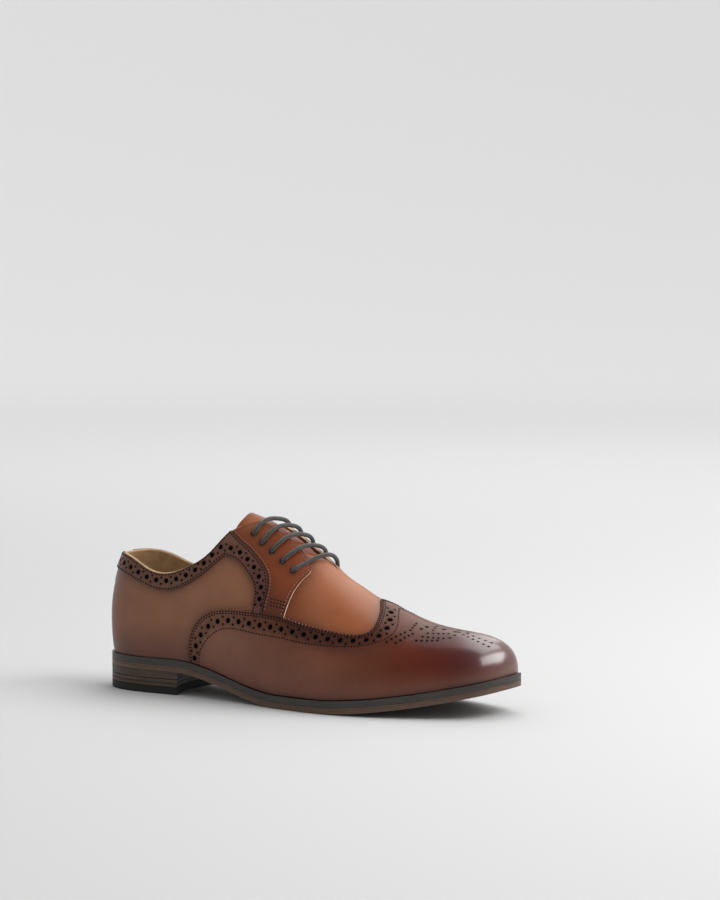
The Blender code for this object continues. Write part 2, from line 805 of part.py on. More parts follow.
def bar_points(index):
    """A bar's path from eyelet to eyelet: over one facing, the gap and the other facing."""
    over = CLEARANCE + OVERLAY_WALL + LACE_END_GAP + LACE_THICK / 2
    ends = [skin(*eyelet_places(medial)[index], over) for medial in (False, True)]
    chord = ends[1] - ends[0]
    outward = last_normal(np.array(EYELETS[index].around), np.array(1.0))
    across = np.cross(chord, outward)
    across = across / np.linalg.norm(across)
    near, far = (edge_crossing(ends[0], across, medial) for medial in (False, True))
    middle = (near + far) / 2 + np.linalg.norm(far - near) * BAR_ARCH * outward
    knots = np.array([ends[0], near, middle, far, ends[1]])
    steps = np.linalg.norm(np.diff(knots, axis=0), axis=1)
    places = np.concatenate([[0], np.cumsum(steps)]) / steps.sum()
    return Curve(places, knots)(np.linspace(0, 1, LACE_STEPS))


def make_laces():
    """The five bars over the throat, joined by the crossings that lie under them."""
    bars = [bar_points(i) for i in range(len(EYELETS))]
    middle = LACE_STEPS // 2
    pieces = [tube(f"lace_bar_{i + 1}", points, LACE_THICK) for i, points in enumerate(bars)]
    for i, (behind, ahead) in enumerate(zip(bars, bars[1:])):
        points = np.linspace(behind[middle + 1], ahead[middle - 1], CROSSING_STEPS)
        points[:, 2] -= CROSSING_SINK
        pieces.append(tube(f"lace_crossing_{i + 1}", points, LACE_THICK))
    lace = add_object("lace", pieces[0], LACE_CORD)
    for mesh in pieces[1:]:
        piece = add_object(mesh.name, mesh, None, CUTTERS)
        piece.hide_render = True
        piece.display_type = "WIRE"
        join = lace.modifiers.new(mesh.name, "BOOLEAN")
        join.operation = "UNION"
        join.solver = "EXACT"
        join.object = piece


def main():
    """Builds the shoe."""
    upper = make_upper()
    make_wing_cap()
    facings = [make_facing("lateral", False), make_facing("medial", True)]
    make_trim("lateral", False)
    make_trim("medial", True)
    make_backstay()
    make_tongue()
    make_bottom()
    make_heel()
    punch_eyelets([upper] + facings)
    make_laces()


main()
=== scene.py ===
"""Dresses a right-foot brogue shoe: punched leather panels, stitches, lace, stacked heel.

Every panel of the upper is drawn on one surface, the last. A place on it is two shares:
"around", from the back of the heel (0) by the outer side to the toe (0.5) and back by the
inner side (1), and "up", from the feather line at the sole (0) to the ridge (1).
Metres, +X to the toe, +Y to the inner side, +Z up.
"""
import logging
import math
from dataclasses import dataclass, field, replace
from enum import Enum
from typing import Callable, NamedTuple, Optional, Sequence

import bpy
import numpy as np
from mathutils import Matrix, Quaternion, Vector
from mathutils.geometry import delaunay_2d_cdt
from mathutils.kdtree import KDTree


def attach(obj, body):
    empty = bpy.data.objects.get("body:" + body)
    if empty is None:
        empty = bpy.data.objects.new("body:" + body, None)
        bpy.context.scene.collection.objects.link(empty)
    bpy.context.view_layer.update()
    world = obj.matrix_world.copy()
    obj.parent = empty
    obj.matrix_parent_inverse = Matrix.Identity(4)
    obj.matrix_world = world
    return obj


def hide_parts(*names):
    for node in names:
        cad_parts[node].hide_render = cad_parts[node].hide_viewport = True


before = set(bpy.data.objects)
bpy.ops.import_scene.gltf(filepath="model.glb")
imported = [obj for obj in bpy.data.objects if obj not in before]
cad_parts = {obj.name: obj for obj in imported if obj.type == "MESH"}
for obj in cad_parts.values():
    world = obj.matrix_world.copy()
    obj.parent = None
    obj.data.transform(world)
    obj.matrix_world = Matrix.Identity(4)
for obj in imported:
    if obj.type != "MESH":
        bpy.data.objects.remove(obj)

Array = np.ndarray
Material = bpy.types.Material
Piece = bpy.types.Object
Triple = tuple[float, float, float]

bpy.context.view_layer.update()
MM = 0.001
TINY = 1e-12
TOE = 0.5
LOG = logging.getLogger("brogue")


class Side(Enum):
    """The two sides of the shoe."""

    OUTER = "outer"
    INNER = "inner"


class Section(NamedTuple):
    """A rib of the last, in shares of the length, the ball width and the instep height."""

    along: float
    outer: float
    inner: float
    crest: float
    rise: float
    roof: float
    lean: float


class Ridge(NamedTuple):
    """A point of the ridge: height and sideways shift in shares of the named sizes."""

    along: float
    height: float
    aside: float


class Place(NamedTuple):
    """A place on the last."""

    around: float
    up: float


SECTIONS = (
    Section(0.008, 0.000, 0.000, 0.170, 0.445, 0.270, 0.110),
    Section(0.035, 0.180, 0.185, 0.170, 0.445, 0.250, 0.108),
    Section(0.110, 0.280, 0.285, 0.180, 0.445, 0.170, 0.095),
    Section(0.200, 0.295, 0.290, 0.220, 0.435, 0.150, 0.074),
    Section(0.300, 0.322, 0.275, 0.290, 0.415, 0.170, 0.055),
    Section(0.400, 0.381, 0.270, 0.370, 0.365, 0.195, 0.045),
    Section(0.500, 0.455, 0.310, 0.460, 0.295, 0.200, 0.040),
    Section(0.600, 0.508, 0.405, 0.560, 0.225, 0.205, 0.036),
    Section(0.680, 0.508, 0.470, 0.635, 0.186, 0.220, 0.032),
    Section(0.760, 0.461, 0.482, 0.705, 0.163, 0.235, 0.026),
    Section(0.840, 0.376, 0.432, 0.770, 0.147, 0.235, 0.021),
    Section(0.910, 0.284, 0.345, 0.825, 0.135, 0.240, 0.017),
    Section(0.960, 0.186, 0.252, 0.860, 0.128, 0.250, 0.015),
    Section(0.985, -0.085, 0.085, 0.880, 0.127, 0.255, 0.014),
)
RIDGE = (
    Ridge(0.10, 1.030, 0.000),
    Ridge(0.20, 1.040, 0.010),
    Ridge(0.30, 1.030, 0.030),
    Ridge(0.38, 0.985, 0.042),
    Ridge(0.46, 0.893, 0.048),
    Ridge(0.54, 0.750, 0.052),
    Ridge(0.62, 0.620, 0.058),
    Ridge(0.70, 0.518, 0.065),
    Ridge(0.78, 0.443, 0.074),
    Ridge(0.86, 0.411, 0.083),
    Ridge(0.94, 0.397, 0.085),
)
TOPLINE = (
    Place(0.000, 0.452), Place(0.049, 0.437), Place(0.075, 0.388), Place(0.092, 0.373),
    Place(0.111, 0.387), Place(0.132, 0.437), Place(0.154, 0.540), Place(0.174, 0.690),
    Place(0.190, 0.765), Place(0.206, 0.845),
)
THROAT = (
    Place(0.206, 0.845), Place(0.222, 0.855), Place(0.240, 0.845), Place(0.258, 0.845),
    Place(0.270, 0.880), Place(0.284, 1.000),
)
FACING_FRONT = (
    Place(0.206, 0.845), Place(0.222, 0.855), Place(0.240, 0.845), Place(0.256, 0.842),
    Place(0.267, 0.805), Place(0.273, 0.755), Place(0.270, 0.690), Place(0.258, 0.520),
    Place(0.253, 0.410),
)
FACING_REAR = (
    Place(0.174, 0.680), Place(0.189, 0.645), Place(0.202, 0.625), Place(0.213, 0.600),
    Place(0.224, 0.565), Place(0.229, 0.510), Place(0.228, 0.440), Place(0.226, 0.375),
)
BAND_LOWER = (
    Place(0.000, 0.372), Place(0.035, 0.368), Place(0.071, 0.320), Place(0.098, 0.295),
    Place(0.126, 0.335), Place(0.143, 0.395), Place(0.170, 0.535),
)
STRIP_REAR = (
    Place(0.170, 0.535), Place(0.187, 0.540), Place(0.200, 0.515), Place(0.209, 0.487),
    Place(0.214, 0.445), Place(0.214, 0.400), Place(0.213, 0.352),
)
WING_EDGE = (
    Place(0.1325, 0.070), Place(0.136, 0.130), Place(0.146, 0.200), Place(0.169, 0.275),
    Place(0.204, 0.335), Place(0.243, 0.390), Place(0.279, 0.427), Place(0.313, 0.470),
    Place(0.338, 0.515), Place(0.350, 0.585),
)
WING_PEAK = (
    Place(0.3535, 0.660), Place(0.3545, 0.760), Place(0.3535, 0.850), Place(0.3515, 0.920),
    Place(0.3490, 1.000),
)
WING_STITCH = (
    Place(0.146, 0.000), Place(0.147, 0.055), Place(0.152, 0.100), Place(0.162, 0.155),
    Place(0.176, 0.205), Place(0.196, 0.240), Place(0.219, 0.265), Place(0.245, 0.295),
    Place(0.276, 0.325), Place(0.304, 0.365), Place(0.331, 0.410), Place(0.347, 0.450),
    Place(0.358, 0.495), Place(0.371, 0.590), Place(0.376, 0.690), Place(0.376, 0.785),
    Place(0.374, 0.900), Place(0.372, 1.000),
)
EYELETS = (
    Place(0.203, 0.730), Place(0.215, 0.700), Place(0.228, 0.685), Place(0.242, 0.668),
    Place(0.255, 0.658),
)
TONGUE_TOP = (
    Place(0.180, 0.640), Place(0.177, 0.690), Place(0.182, 0.820), Place(0.190, 1.000),
)


class Curve:
    """A smooth curve through rows of values at rising places, open or closed."""

    def __init__(self, places: Sequence, rows: Sequence, closed: bool = False) -> None:
        """Fits the curve.

        Args:
            places: where the rows lie, rising.
            rows: the values at the places.
            closed: whether the last row is the first again.
        """
        self.places = np.asarray(places, float)
        self.rows = np.asarray(rows, float)
        self.closed = closed
        self.slopes = self._solve()

    def _solve(self) -> Array:
        """Returns the slopes that make the curve's bending run on.

        Returns:
            A slope for each row.
        """
        step = np.diff(self.places)
        grade = np.diff(self.rows, axis=0) / step[:, None]
        count = len(step) if self.closed else len(self.places)
        matrix = np.zeros((count, count))
        right = np.zeros((count, self.rows.shape[1]))
        for i in range(count) if self.closed else range(1, count - 1):
            before, after = step[i - 1], step[i]
            matrix[i, i - 1] += 1 / before
            matrix[i, i] += 2 / before + 2 / after
            matrix[i, (i + 1) % count] += 1 / after
            right[i] = 3 * (grade[i - 1] / before + grade[i] / after)
        if self.closed:
            slopes = np.linalg.solve(matrix, right)
            return np.vstack([slopes, slopes[:1]])
        matrix[0, 0] = matrix[-1, -1] = 2
        matrix[0, 1] = matrix[-1, -2] = 1
        right[0], right[-1] = 3 * grade[0], 3 * grade[-1]
        return np.linalg.solve(matrix, right)

    def _locate(self, at: Array) -> tuple:
        """Returns the span, its length and the share of it for each place.

        Args:
            at: the places asked for.

        Returns:
            The span's number, its length and the share of it.
        """
        low, high = self.places[0], self.places[-1]
        at = (at - low) % (high - low) + low if self.closed else np.clip(at, low, high)
        i = np.clip(np.searchsorted(self.places, at, side="right") - 1, 0, len(self.places) - 2)
        step = (self.places[i + 1] - self.places[i])[..., None]
        return i, step, (at - self.places[i])[..., None] / step

    def __call__(self, at: Array) -> Array:
        """Returns the curve's values at the places.

        Args:
            at: the places asked for.

        Returns:
            A row for each place.
        """
        i, step, u = self._locate(np.asarray(at, float))
        start = self.rows[i] * (1 + 2 * u) * (1 - u) ** 2 + self.slopes[i] * step * u * (1 - u) ** 2
        end = self.rows[i + 1] * (3 - 2 * u) * u ** 2 + self.slopes[i + 1] * step * (u - 1) * u ** 2
        return start + end

    def slope(self, at: Array) -> Array:
        """Returns the curve's slopes at the places.

        Args:
            at: the places asked for.

        Returns:
            A row for each place.
        """
        i, step, u = self._locate(np.asarray(at, float))
        rise = (self.rows[i + 1] - self.rows[i]) / step * 6 * u * (1 - u)
        start = self.slopes[i] * (1 - u) * (1 - 3 * u)
        return rise + start + self.slopes[i + 1] * u * (3 * u - 2)


def ease(share: Array) -> Array:
    """Returns a smooth step from 0 to 1."""
    share = np.clip(share, 0, 1)
    return share * share * (3 - 2 * share)


def unit(rows: Array) -> Array:
    """Returns the vectors at length 1."""
    return rows / np.maximum(np.linalg.norm(rows, axis=-1, keepdims=True), TINY)


def folded(around: Array) -> Array:
    """Returns places around with the inner side folded onto the outer one."""
    return np.where(around > TOE, 1 - around, around)


def run_of(points: Array) -> Array:
    """Returns the length run along a line of points, at each of them."""
    return np.concatenate([[0], np.cumsum(np.linalg.norm(np.diff(points, axis=0), axis=1))])


@dataclass
class Last:
    """The surface that every panel of the upper is drawn on."""

    length: float = 0.305
    ball_width: float = 0.095
    instep_height: float = 0.125
    heel_height: float = 0.0155
    heel_length: float = 0.067
    toe_spring: float = 0.0185
    outsole: float = 0.0038
    midsole: float = 0.0043
    clearance: float = 0.0003
    heel_margin: float = 0.0016
    forepart_margin: float = 0.0036
    inner_lead: float = 0.0090
    shank_start: float = 0.205
    tread_start: float = 0.505
    tread_end: float = 0.600
    spring_power: float = 1.7
    margin_start: float = 0.25
    margin_end: float = 0.60
    lead_start: float = 0.100
    lead_end: float = 0.180
    wing_reach: float = 0.250
    normal_step: float = 0.0005
    rib_share: float = 0.9

    def __post_init__(self) -> None:
        """Fits the feather line, the ridge and the drawn lines."""
        outer = np.array([(s.along * self.length, -s.outer * self.ball_width) + s[3:]
                          for s in SECTIONS])
        inner = np.array([(s.along * self.length, s.inner * self.ball_width) + s[3:]
                          for s in SECTIONS])
        reach = [np.hypot(*np.diff(line[:, :2], axis=0).T) for line in (outer, inner)]
        steps = np.cumsum(sum(reach))
        half = np.concatenate([[0], steps]) / steps[-1] / 2
        places = np.concatenate([half, 1 - half[-2::-1]])
        self.feather = Curve(places, np.vstack([outer, inner[-2::-1]]), closed=True)
        self.round = float(steps[-1])
        self.rib = self.rib_share * self.instep_height
        self.flat = np.array([self.round, self.rib])
        self.ridge = Curve([r.along for r in RIDGE], [r[1:] for r in RIDGE])
        self.foot = self.outsole + self.midsole + 2 * self.clearance
        self.topline = self.by_around(TOPLINE)
        self.throat = self.by_around(THROAT)
        self.band = self.by_around(BAND_LOWER)
        self.wing = self.by_around(WING_EDGE)
        self.heel_back = float(self.sole_edge(np.array(0.0))[0])
        self.shift = np.array([-self.heel_back - self.heel_length / 2, 0, 0])

    @staticmethod
    def by_around(line: Sequence[Place]) -> Curve:
        """Returns a drawn line as heights over its places around."""
        return Curve([p.around for p in line], [[p.up] for p in line])

    def drawn(self, line: Sequence[Place]) -> Curve:
        """Returns a drawn line as a curve over 0 to 1, stepped by its real length.

        Args:
            line: the drawn places.

        Returns:
            The curve.
        """
        rows = np.array(line)
        steps = np.hypot(*(np.diff(rows, axis=0) * self.flat).T)
        places = np.concatenate([[0], np.cumsum(steps)])
        return Curve(places / places[-1], rows)

    def ground(self, x: Array) -> Array:
        """Returns the height of the outsole's underside, x from the back of the heel.

        Args:
            x: distances from the back of the heel.

        Returns:
            The heights.
        """
        shank = (x / self.length - self.shank_start) / (self.tread_start - self.shank_start)
        spring = np.clip((x / self.length - self.tread_end) / (1 - self.tread_end), 0, 1)
        return self.heel_height * (1 - ease(shank)) + self.toe_spring * spring ** self.spring_power

    def feather_normal(self, around: Array) -> Array:
        """Returns the outward direction in plan along the feather line."""
        run = unit(self.feather.slope(around)[..., :2])
        return np.stack([run[..., 1], -run[..., 0]], -1)

    def sole_edge(self, around: Array, inset: float = 0.0) -> Array:
        """Returns the sole's outline in plan, or the feather line drawn in by inset.

        Args:
            around: shares around the sole.
            inset: how far in, or 0 for the sole's own edge.

        Returns:
            Points in plan.
        """
        line = self.feather(around)[..., :2]
        if inset:
            return line - self.feather_normal(around) * inset
        share = line[..., 0] / self.length - self.margin_start
        share = share / (self.margin_end - self.margin_start)
        margin = self.heel_margin + (self.forepart_margin - self.heel_margin) * ease(share)
        return line + self.feather_normal(around) * margin[..., None]

    def grade(self, crest: Array) -> Array:
        """Returns the ridge's slope, rise over run."""
        return self.ridge.slope(crest)[..., 0] * self.instep_height / self.length

    def point(self, around: Array, up: Array) -> Array:
        """Returns points of the last, in the shared frame.

        Args:
            around: shares around.
            up: shares up.

        Returns:
            The points.
        """
        x, y, crest, rise, roof, lean = np.moveaxis(self.feather(around), -1, 0)
        foot = np.stack([x, y, self.ground(x) + self.foot], -1)
        wall = foot.copy()
        wall[..., :2] += self.feather_normal(around) * (lean * self.ball_width)[..., None]
        wall[..., 2] += rise * self.instep_height
        height, aside = np.moveaxis(self.ridge(crest), -1, 0)
        top = np.stack([crest * self.length, aside * self.ball_width,
                        height * self.instep_height], -1)
        away = unit((foot - top)[..., :2])
        reach = (roof * self.ball_width)[..., None]
        shoulder = top + reach * np.stack(
            [away[..., 0], away[..., 1], self.grade(crest) * away[..., 0]], -1)
        v = up[..., None]
        low = (1 - v) ** 3 * foot + 3 * (1 - v) ** 2 * v * wall
        return low + 3 * (1 - v) * v ** 2 * shoulder + v ** 3 * top + self.shift

    def tangents(self, around: Array, up: Array) -> tuple[Array, Array]:
        """Returns how points move per share around and per share up.

        Args:
            around: shares around.
            up: shares up.

        Returns:
            The two rates of change.
        """
        step = self.normal_step
        up = np.clip(up, step, 1 - step)
        along = (self.point(around + step, up) - self.point(around - step, up)) / (2 * step)
        rise = (self.point(around, up + step) - self.point(around, up - step)) / (2 * step)
        return along, rise

    def normal(self, around: Array, up: Array) -> Array:
        """Returns the outward unit normals.

        Args:
            around: shares around.
            up: shares up.

        Returns:
            The normals.
        """
        normal = np.cross(*self.tangents(around, up))
        grade = self.grade(self.feather(around)[..., 2])
        over = np.stack([-grade, np.zeros_like(grade), np.ones_like(grade)], -1)
        normal = np.where((up > 1 - 2 * self.normal_step)[..., None], over, normal)
        return unit(normal)

    def skin(self, places: Array, lift: Array | float = 0.0) -> Array:
        """Returns points over the last, raised along its normal by lift.

        Args:
            places: places on the last, around and up.
            lift: the height over the last.

        Returns:
            The points.
        """
        places = np.asarray(places, float)
        around, up = places[..., 0], places[..., 1]
        lift = np.broadcast_to(np.asarray(lift, float), around.shape)
        return self.point(around, up) + lift[..., None] * self.normal(around, up)

    def lead(self, around: Array) -> Array:
        """Returns how far the inner facing sits ahead of the outer one."""
        share = (around - self.lead_start) / (self.lead_end - self.lead_start)
        return self.inner_lead / self.round * ease(share)

    def to_side(self, places: Array, side: Side) -> Array:
        """Returns places of the outer side, or their partners on the inner side.

        Args:
            places: places on the outer side.
            side: the wanted side.

        Returns:
            The places there.
        """
        places = np.asarray(places, float)
        if side is Side.OUTER:
            return places
        around, up = places[..., 0], places[..., 1]
        moved = around + self.lead(around)
        edge = self.wing(around)[..., 0]
        near = np.clip(1 - (up - edge) / self.wing_reach, 0, 1)
        up = up + near * (self.wing(moved)[..., 0] - edge)
        return np.stack([1 - moved, up], -1)

    def opening(self, around: Array) -> Array:
        """Returns the height share of the upper's free edge.

        Args:
            around: shares around.

        Returns:
            The shares up where the upper ends.
        """
        half = folded(around)
        half = half - np.where(around > TOE, self.lead(half), 0)
        up = np.where(half < TOPLINE[-1].around, self.topline(half)[..., 0],
                      self.throat(half)[..., 0])
        return np.where(half >= THROAT[-1].around, 1.0, up)

    def moved(self, places: Array, steps: Array) -> Array:
        """Returns the places moved by real steps that lie on the surface.

        Args:
            places: places on the last.
            steps: a vector in metres for each place.

        Returns:
            The places where the steps lead.
        """
        along, rise = self.tangents(places[..., 0], places[..., 1])
        aa, au, uu = (along * along).sum(-1), (along * rise).sum(-1), (rise * rise).sum(-1)
        sa, su = (along * steps).sum(-1), (rise * steps).sum(-1)
        scale = aa * uu - au * au
        return places + np.stack([(uu * sa - au * su) / scale, (aa * su - au * sa) / scale], -1)

    def beside(self, places: Array, offset: Array | float) -> Array:
        """Returns a line moved sideways on the surface, to the left of its run for plus.

        Args:
            places: a dense line.
            offset: the distance from it.

        Returns:
            The moved line.
        """
        points = self.skin(places)
        run = unit(np.gradient(points, axis=0))
        left = unit(np.cross(self.normal(places[:, 0], places[:, 1]), run))
        offset = np.broadcast_to(np.asarray(offset, float), len(places))
        return self.moved(places, left * offset[:, None])

    def evenly(self, places: Array, pitch: float, start: float = 0.0, end: float = 0.0) -> Array:
        """Returns places along a dense line, evenly spaced in metres.

        Args:
            places: the dense line.
            pitch: the wanted distance between two places.
            start: the length left free at the start.
            end: the length left free at the end.

        Returns:
            The spaced places.
        """
        run = run_of(self.skin(places))
        count = max(1, round((run[-1] - start - end) / pitch))
        at = np.linspace(start, run[-1] - end, count + 1)
        return np.stack([np.interp(at, run, places[:, k]) for k in (0, 1)], -1)

    def circle(self, place: Array, radius: float, sides: int) -> Array:
        """Returns the places of a round ring about a place.

        Args:
            place: the centre.
            radius: its real radius.
            sides: how many points.

        Returns:
            The ring's places.
        """
        centre = np.repeat(np.asarray(place, float)[None], sides, axis=0)
        along, _ = self.tangents(centre[:, 0], centre[:, 1])
        first = unit(along)
        second = unit(np.cross(self.normal(centre[:, 0], centre[:, 1]), first))
        turn = (np.arange(sides) / sides * 2 * np.pi)[:, None]
        return self.moved(centre, radius * (np.cos(turn) * first + np.sin(turn) * second))


LAST = Last()


class Wash(NamedTuple):
    """A soft patch of colour: its colour, its centre, its spread and its strength. Most are dyeing;
    a few are painted light, marked where they stand.
    """

    color: Triple
    around: float
    up: float
    wide: float
    tall: float
    strength: float


@dataclass(frozen=True)
class LeatherFinish:
    """How a dyed and polished leather looks; in some finishes a few washes and the edge colour are
    painted light.
    """

    name: str
    base: Triple
    washes: tuple[Wash, ...] = ()
    roughness: float = 0.42
    coat: float = 0.14
    coat_roughness: float = 0.16
    coat_ior: float = 1.5
    shine: tuple[float, float, float, float, float] = (0.0, 0.0, 0.0, 1.0, 1.0)
    specular: float = 0.16
    grain_size: float = 900.0
    grain_depth: float = 0.00010
    mottle: float = 0.40
    seam_dark: float = 0.45
    edge: Triple = (0.10, 0.045, 0.028)

    def dye_and_light(self, around: Array, up: Array) -> Array:
        """Returns the colour at places of the last, both sides alike: the dyeing, with the painted
        light of some washes.

        Args:
            around: shares around.
            up: shares up.

        Returns:
            A colour for each place.
        """
        half = folded(around)
        color = np.broadcast_to(np.array(self.base), half.shape + (3,)).copy()
        for wash in self.washes:
            away = ((half - wash.around) / wash.wide) ** 2 + ((up - wash.up) / wash.tall) ** 2
            share = (wash.strength * np.exp(-away))[..., None]
            color = color * (1 - share) + np.array(wash.color) * share
        return color

    def gloss(self, around: Array, up: Array) -> Array:
        """Returns the polish at places of the last: even, and stronger in one shined patch.

        Args:
            around: shares around.
            up: shares up.

        Returns:
            The coat's weight at each place.
        """
        half = folded(around)
        more, at, height, wide, tall = self.shine
        return self.coat + more * np.exp(-((half - at) / wide) ** 2 - ((up - height) / tall) ** 2)


@dataclass(frozen=True)
class PlainFinish:
    """How a plain material looks: two tones, their mottling and its gloss."""

    name: str
    base: Triple
    deep: Triple
    roughness: float
    scale: Triple = (200.0, 200.0, 200.0)
    bump: float = 0.0001
    coat: float = 0.0
    sheen: float = 0.0
    specular: float = 0.25
    braided: bool = False
    coat_roughness: float = 0.25


class Graph:
    """A node tree with short calls to add and join its nodes."""

    def __init__(self, tree: bpy.types.NodeTree) -> None:
        """Takes the tree."""
        self.tree = tree

    def add(self, kind: str, **values) -> bpy.types.Node:
        """Adds a node.

        Args:
            kind: the node's type name.
            values: its settings, or values of its inputs where no setting has the name.

        Returns:
            The node.
        """
        node = self.tree.nodes.new(kind)
        for name, value in values.items():
            if hasattr(node, name):
                setattr(node, name, value)
            else:
                self.fill(node, **{name: value})
        return node

    @staticmethod
    def fill(node: bpy.types.Node, **values) -> None:
        """Sets values of a node's inputs, named with _ for a space."""
        for name, value in values.items():
            node.inputs[name.replace("_", " ")].default_value = value

    def join(self, *pairs: tuple) -> None:
        """Joins outputs to inputs, given in pairs."""
        for source, target in pairs:
            self.tree.links.new(source, target)

    def math(self, operation: str, *inputs) -> bpy.types.NodeSocket:
        """Adds a math node of numbers or sockets and returns its result.

        Args:
            operation: the operation.
            inputs: its numbers or sockets.

        Returns:
            The result's socket.
        """
        node = self.tree.nodes.new("ShaderNodeMath")
        node.operation = operation
        for socket, value in zip(node.inputs, inputs):
            if isinstance(value, bpy.types.NodeSocket):
                self.join((value, socket))
            else:
                socket.default_value = value
        return node.outputs[0]


def new_group(name: str, inputs: dict, outputs: dict) -> tuple:
    """Makes an empty shader node group.

    Args:
        name: the group's name.
        inputs: the type of each named input, with its value or None.
        outputs: the type of each named output.

    Returns:
        The group, its graph, its input node and its output node.
    """
    group = bpy.data.node_groups.new(name, "ShaderNodeTree")
    for label, (kind, value) in inputs.items():
        socket = group.interface.new_socket(label, in_out="INPUT", socket_type=kind)
        if value is not None:
            socket.default_value = value
    for label, kind in outputs.items():
        group.interface.new_socket(label, in_out="OUTPUT", socket_type=kind)
    graph = Graph(group)
    return group, graph, graph.add("NodeGroupInput"), graph.add("NodeGroupOutput")


class Effects:
    """The shader node groups that several materials share."""

    def __init__(self) -> None:
        """Builds each group once."""
        self.grain = self._grain()
        self.burnish_and_shade = self._burnish_and_shade()
        self.mottle = self._mottle()
        self.braid = self._braid()

    @staticmethod
    def _grain() -> bpy.types.NodeTree:
        """Returns leather grain: fine pores over soft wrinkles.

        Returns:
            The group.
        """
        group, graph, start, end = new_group(
            "leather_grain",
            {"Place": ("NodeSocketVector", None), "Scale": ("NodeSocketFloat", 900.0)},
            {"Height": "NodeSocketFloat", "Fleck": "NodeSocketFloat"})
        pores = graph.add("ShaderNodeTexVoronoi", feature="SMOOTH_F1")
        soft = graph.add("ShaderNodeTexNoise", Detail=4.0, Roughness=0.6)
        cloud = graph.add("ShaderNodeTexNoise", Scale=42.0, Detail=3.0, Roughness=0.55)
        graph.join((start.outputs["Place"], pores.inputs["Vector"]),
                   (start.outputs["Scale"], pores.inputs["Scale"]),
                   (start.outputs["Place"], soft.inputs["Vector"]),
                   (start.outputs["Place"], cloud.inputs["Vector"]))
        graph.join((graph.math("MULTIPLY", start.outputs["Scale"], 0.35), soft.inputs["Scale"]))
        height = graph.math("ADD", graph.math("MULTIPLY", pores.outputs["Distance"], 0.5),
                            soft.outputs[0])
        graph.join((height, end.inputs["Height"]), (cloud.outputs[0], end.inputs["Fleck"]))
        return group

    @staticmethod
    def _burnish_and_shade() -> bpy.types.NodeTree:
        """Returns darkening at seams and edges, mottled elsewhere: hand burnishing, and on the
        upper partly painted shade beside the overlays' edges.

        Returns:
            The group.
        """
        group, graph, start, end = new_group(
            "burnish_and_shade",
            {"Dye And Light": ("NodeSocketColor", None), "Seam": ("NodeSocketFloat", 0.0),
             "Fleck": ("NodeSocketFloat", 0.5), "Seam Dark": ("NodeSocketFloat", 0.45),
             "Mottle": ("NodeSocketFloat", 0.16)},
            {"Color": "NodeSocketColor", "Rub": "NodeSocketFloat"})
        cloud = graph.math("MULTIPLY", graph.math("SUBTRACT", start.outputs["Fleck"], 0.5),
                           start.outputs["Mottle"])
        seam = graph.math("MULTIPLY", start.outputs["Seam"], start.outputs["Seam Dark"])
        tone = graph.math("SUBTRACT", graph.math("ADD", 1.0, cloud), seam)
        shade = graph.add("ShaderNodeVectorMath", operation="SCALE")
        graph.join((start.outputs["Dye And Light"], shade.inputs[0]), (tone, shade.inputs["Scale"]),
                   (shade.outputs[0], end.inputs["Color"]),
                   (graph.math("MULTIPLY", cloud, 0.8), end.inputs["Rub"]))
        return group

    @staticmethod
    def _mottle() -> bpy.types.NodeTree:
        """Returns two tones mixed by stretched noise, with its height.

        Returns:
            The group.
        """
        group, graph, start, end = new_group(
            "mottle",
            {"Place": ("NodeSocketVector", None), "Stretch": ("NodeSocketVector", None),
             "Base": ("NodeSocketColor", None), "Deep": ("NodeSocketColor", None)},
            {"Color": "NodeSocketColor", "Height": "NodeSocketFloat"})
        stretch = graph.add("ShaderNodeVectorMath", operation="MULTIPLY")
        noise = graph.add("ShaderNodeTexNoise", Scale=1.0, Detail=5.0, Roughness=0.6)
        mix = graph.add("ShaderNodeMix", data_type="RGBA")
        spread = graph.add("ShaderNodeMapRange", From_Min=0.3, From_Max=0.7)
        graph.join((start.outputs["Place"], stretch.inputs[0]),
                   (start.outputs["Stretch"], stretch.inputs[1]),
                   (stretch.outputs[0], noise.inputs["Vector"]),
                   (noise.outputs[0], spread.inputs["Value"]),
                   (spread.outputs[0], mix.inputs[0]),
                   (start.outputs["Base"], mix.inputs[6]),
                   (start.outputs["Deep"], mix.inputs[7]),
                   (mix.outputs[2], end.inputs["Color"]),
                   (noise.outputs[0], end.inputs["Height"]))
        return group

    @staticmethod
    def _braid() -> bpy.types.NodeTree:
        """Returns the crossing strands of a round braid, drawn on the lace's own map.

        Returns:
            The group.
        """
        group, graph, start, end = new_group(
            "braid", {"Map": ("NodeSocketVector", None)}, {"Height": "NodeSocketFloat"})
        split = graph.add("ShaderNodeSeparateXYZ")
        graph.join((start.outputs["Map"], split.inputs[0]))
        waves = []
        for turn in (1.0, -1.0):
            slant = graph.math("ADD", graph.math("MULTIPLY", split.outputs[0], 6.0 * turn),
                               split.outputs[1])
            waves.append(graph.math("SINE", graph.math("MULTIPLY", slant, 2 * math.pi)))
        graph.join((graph.math("MAXIMUM", *waves), end.inputs["Height"]))
        return group


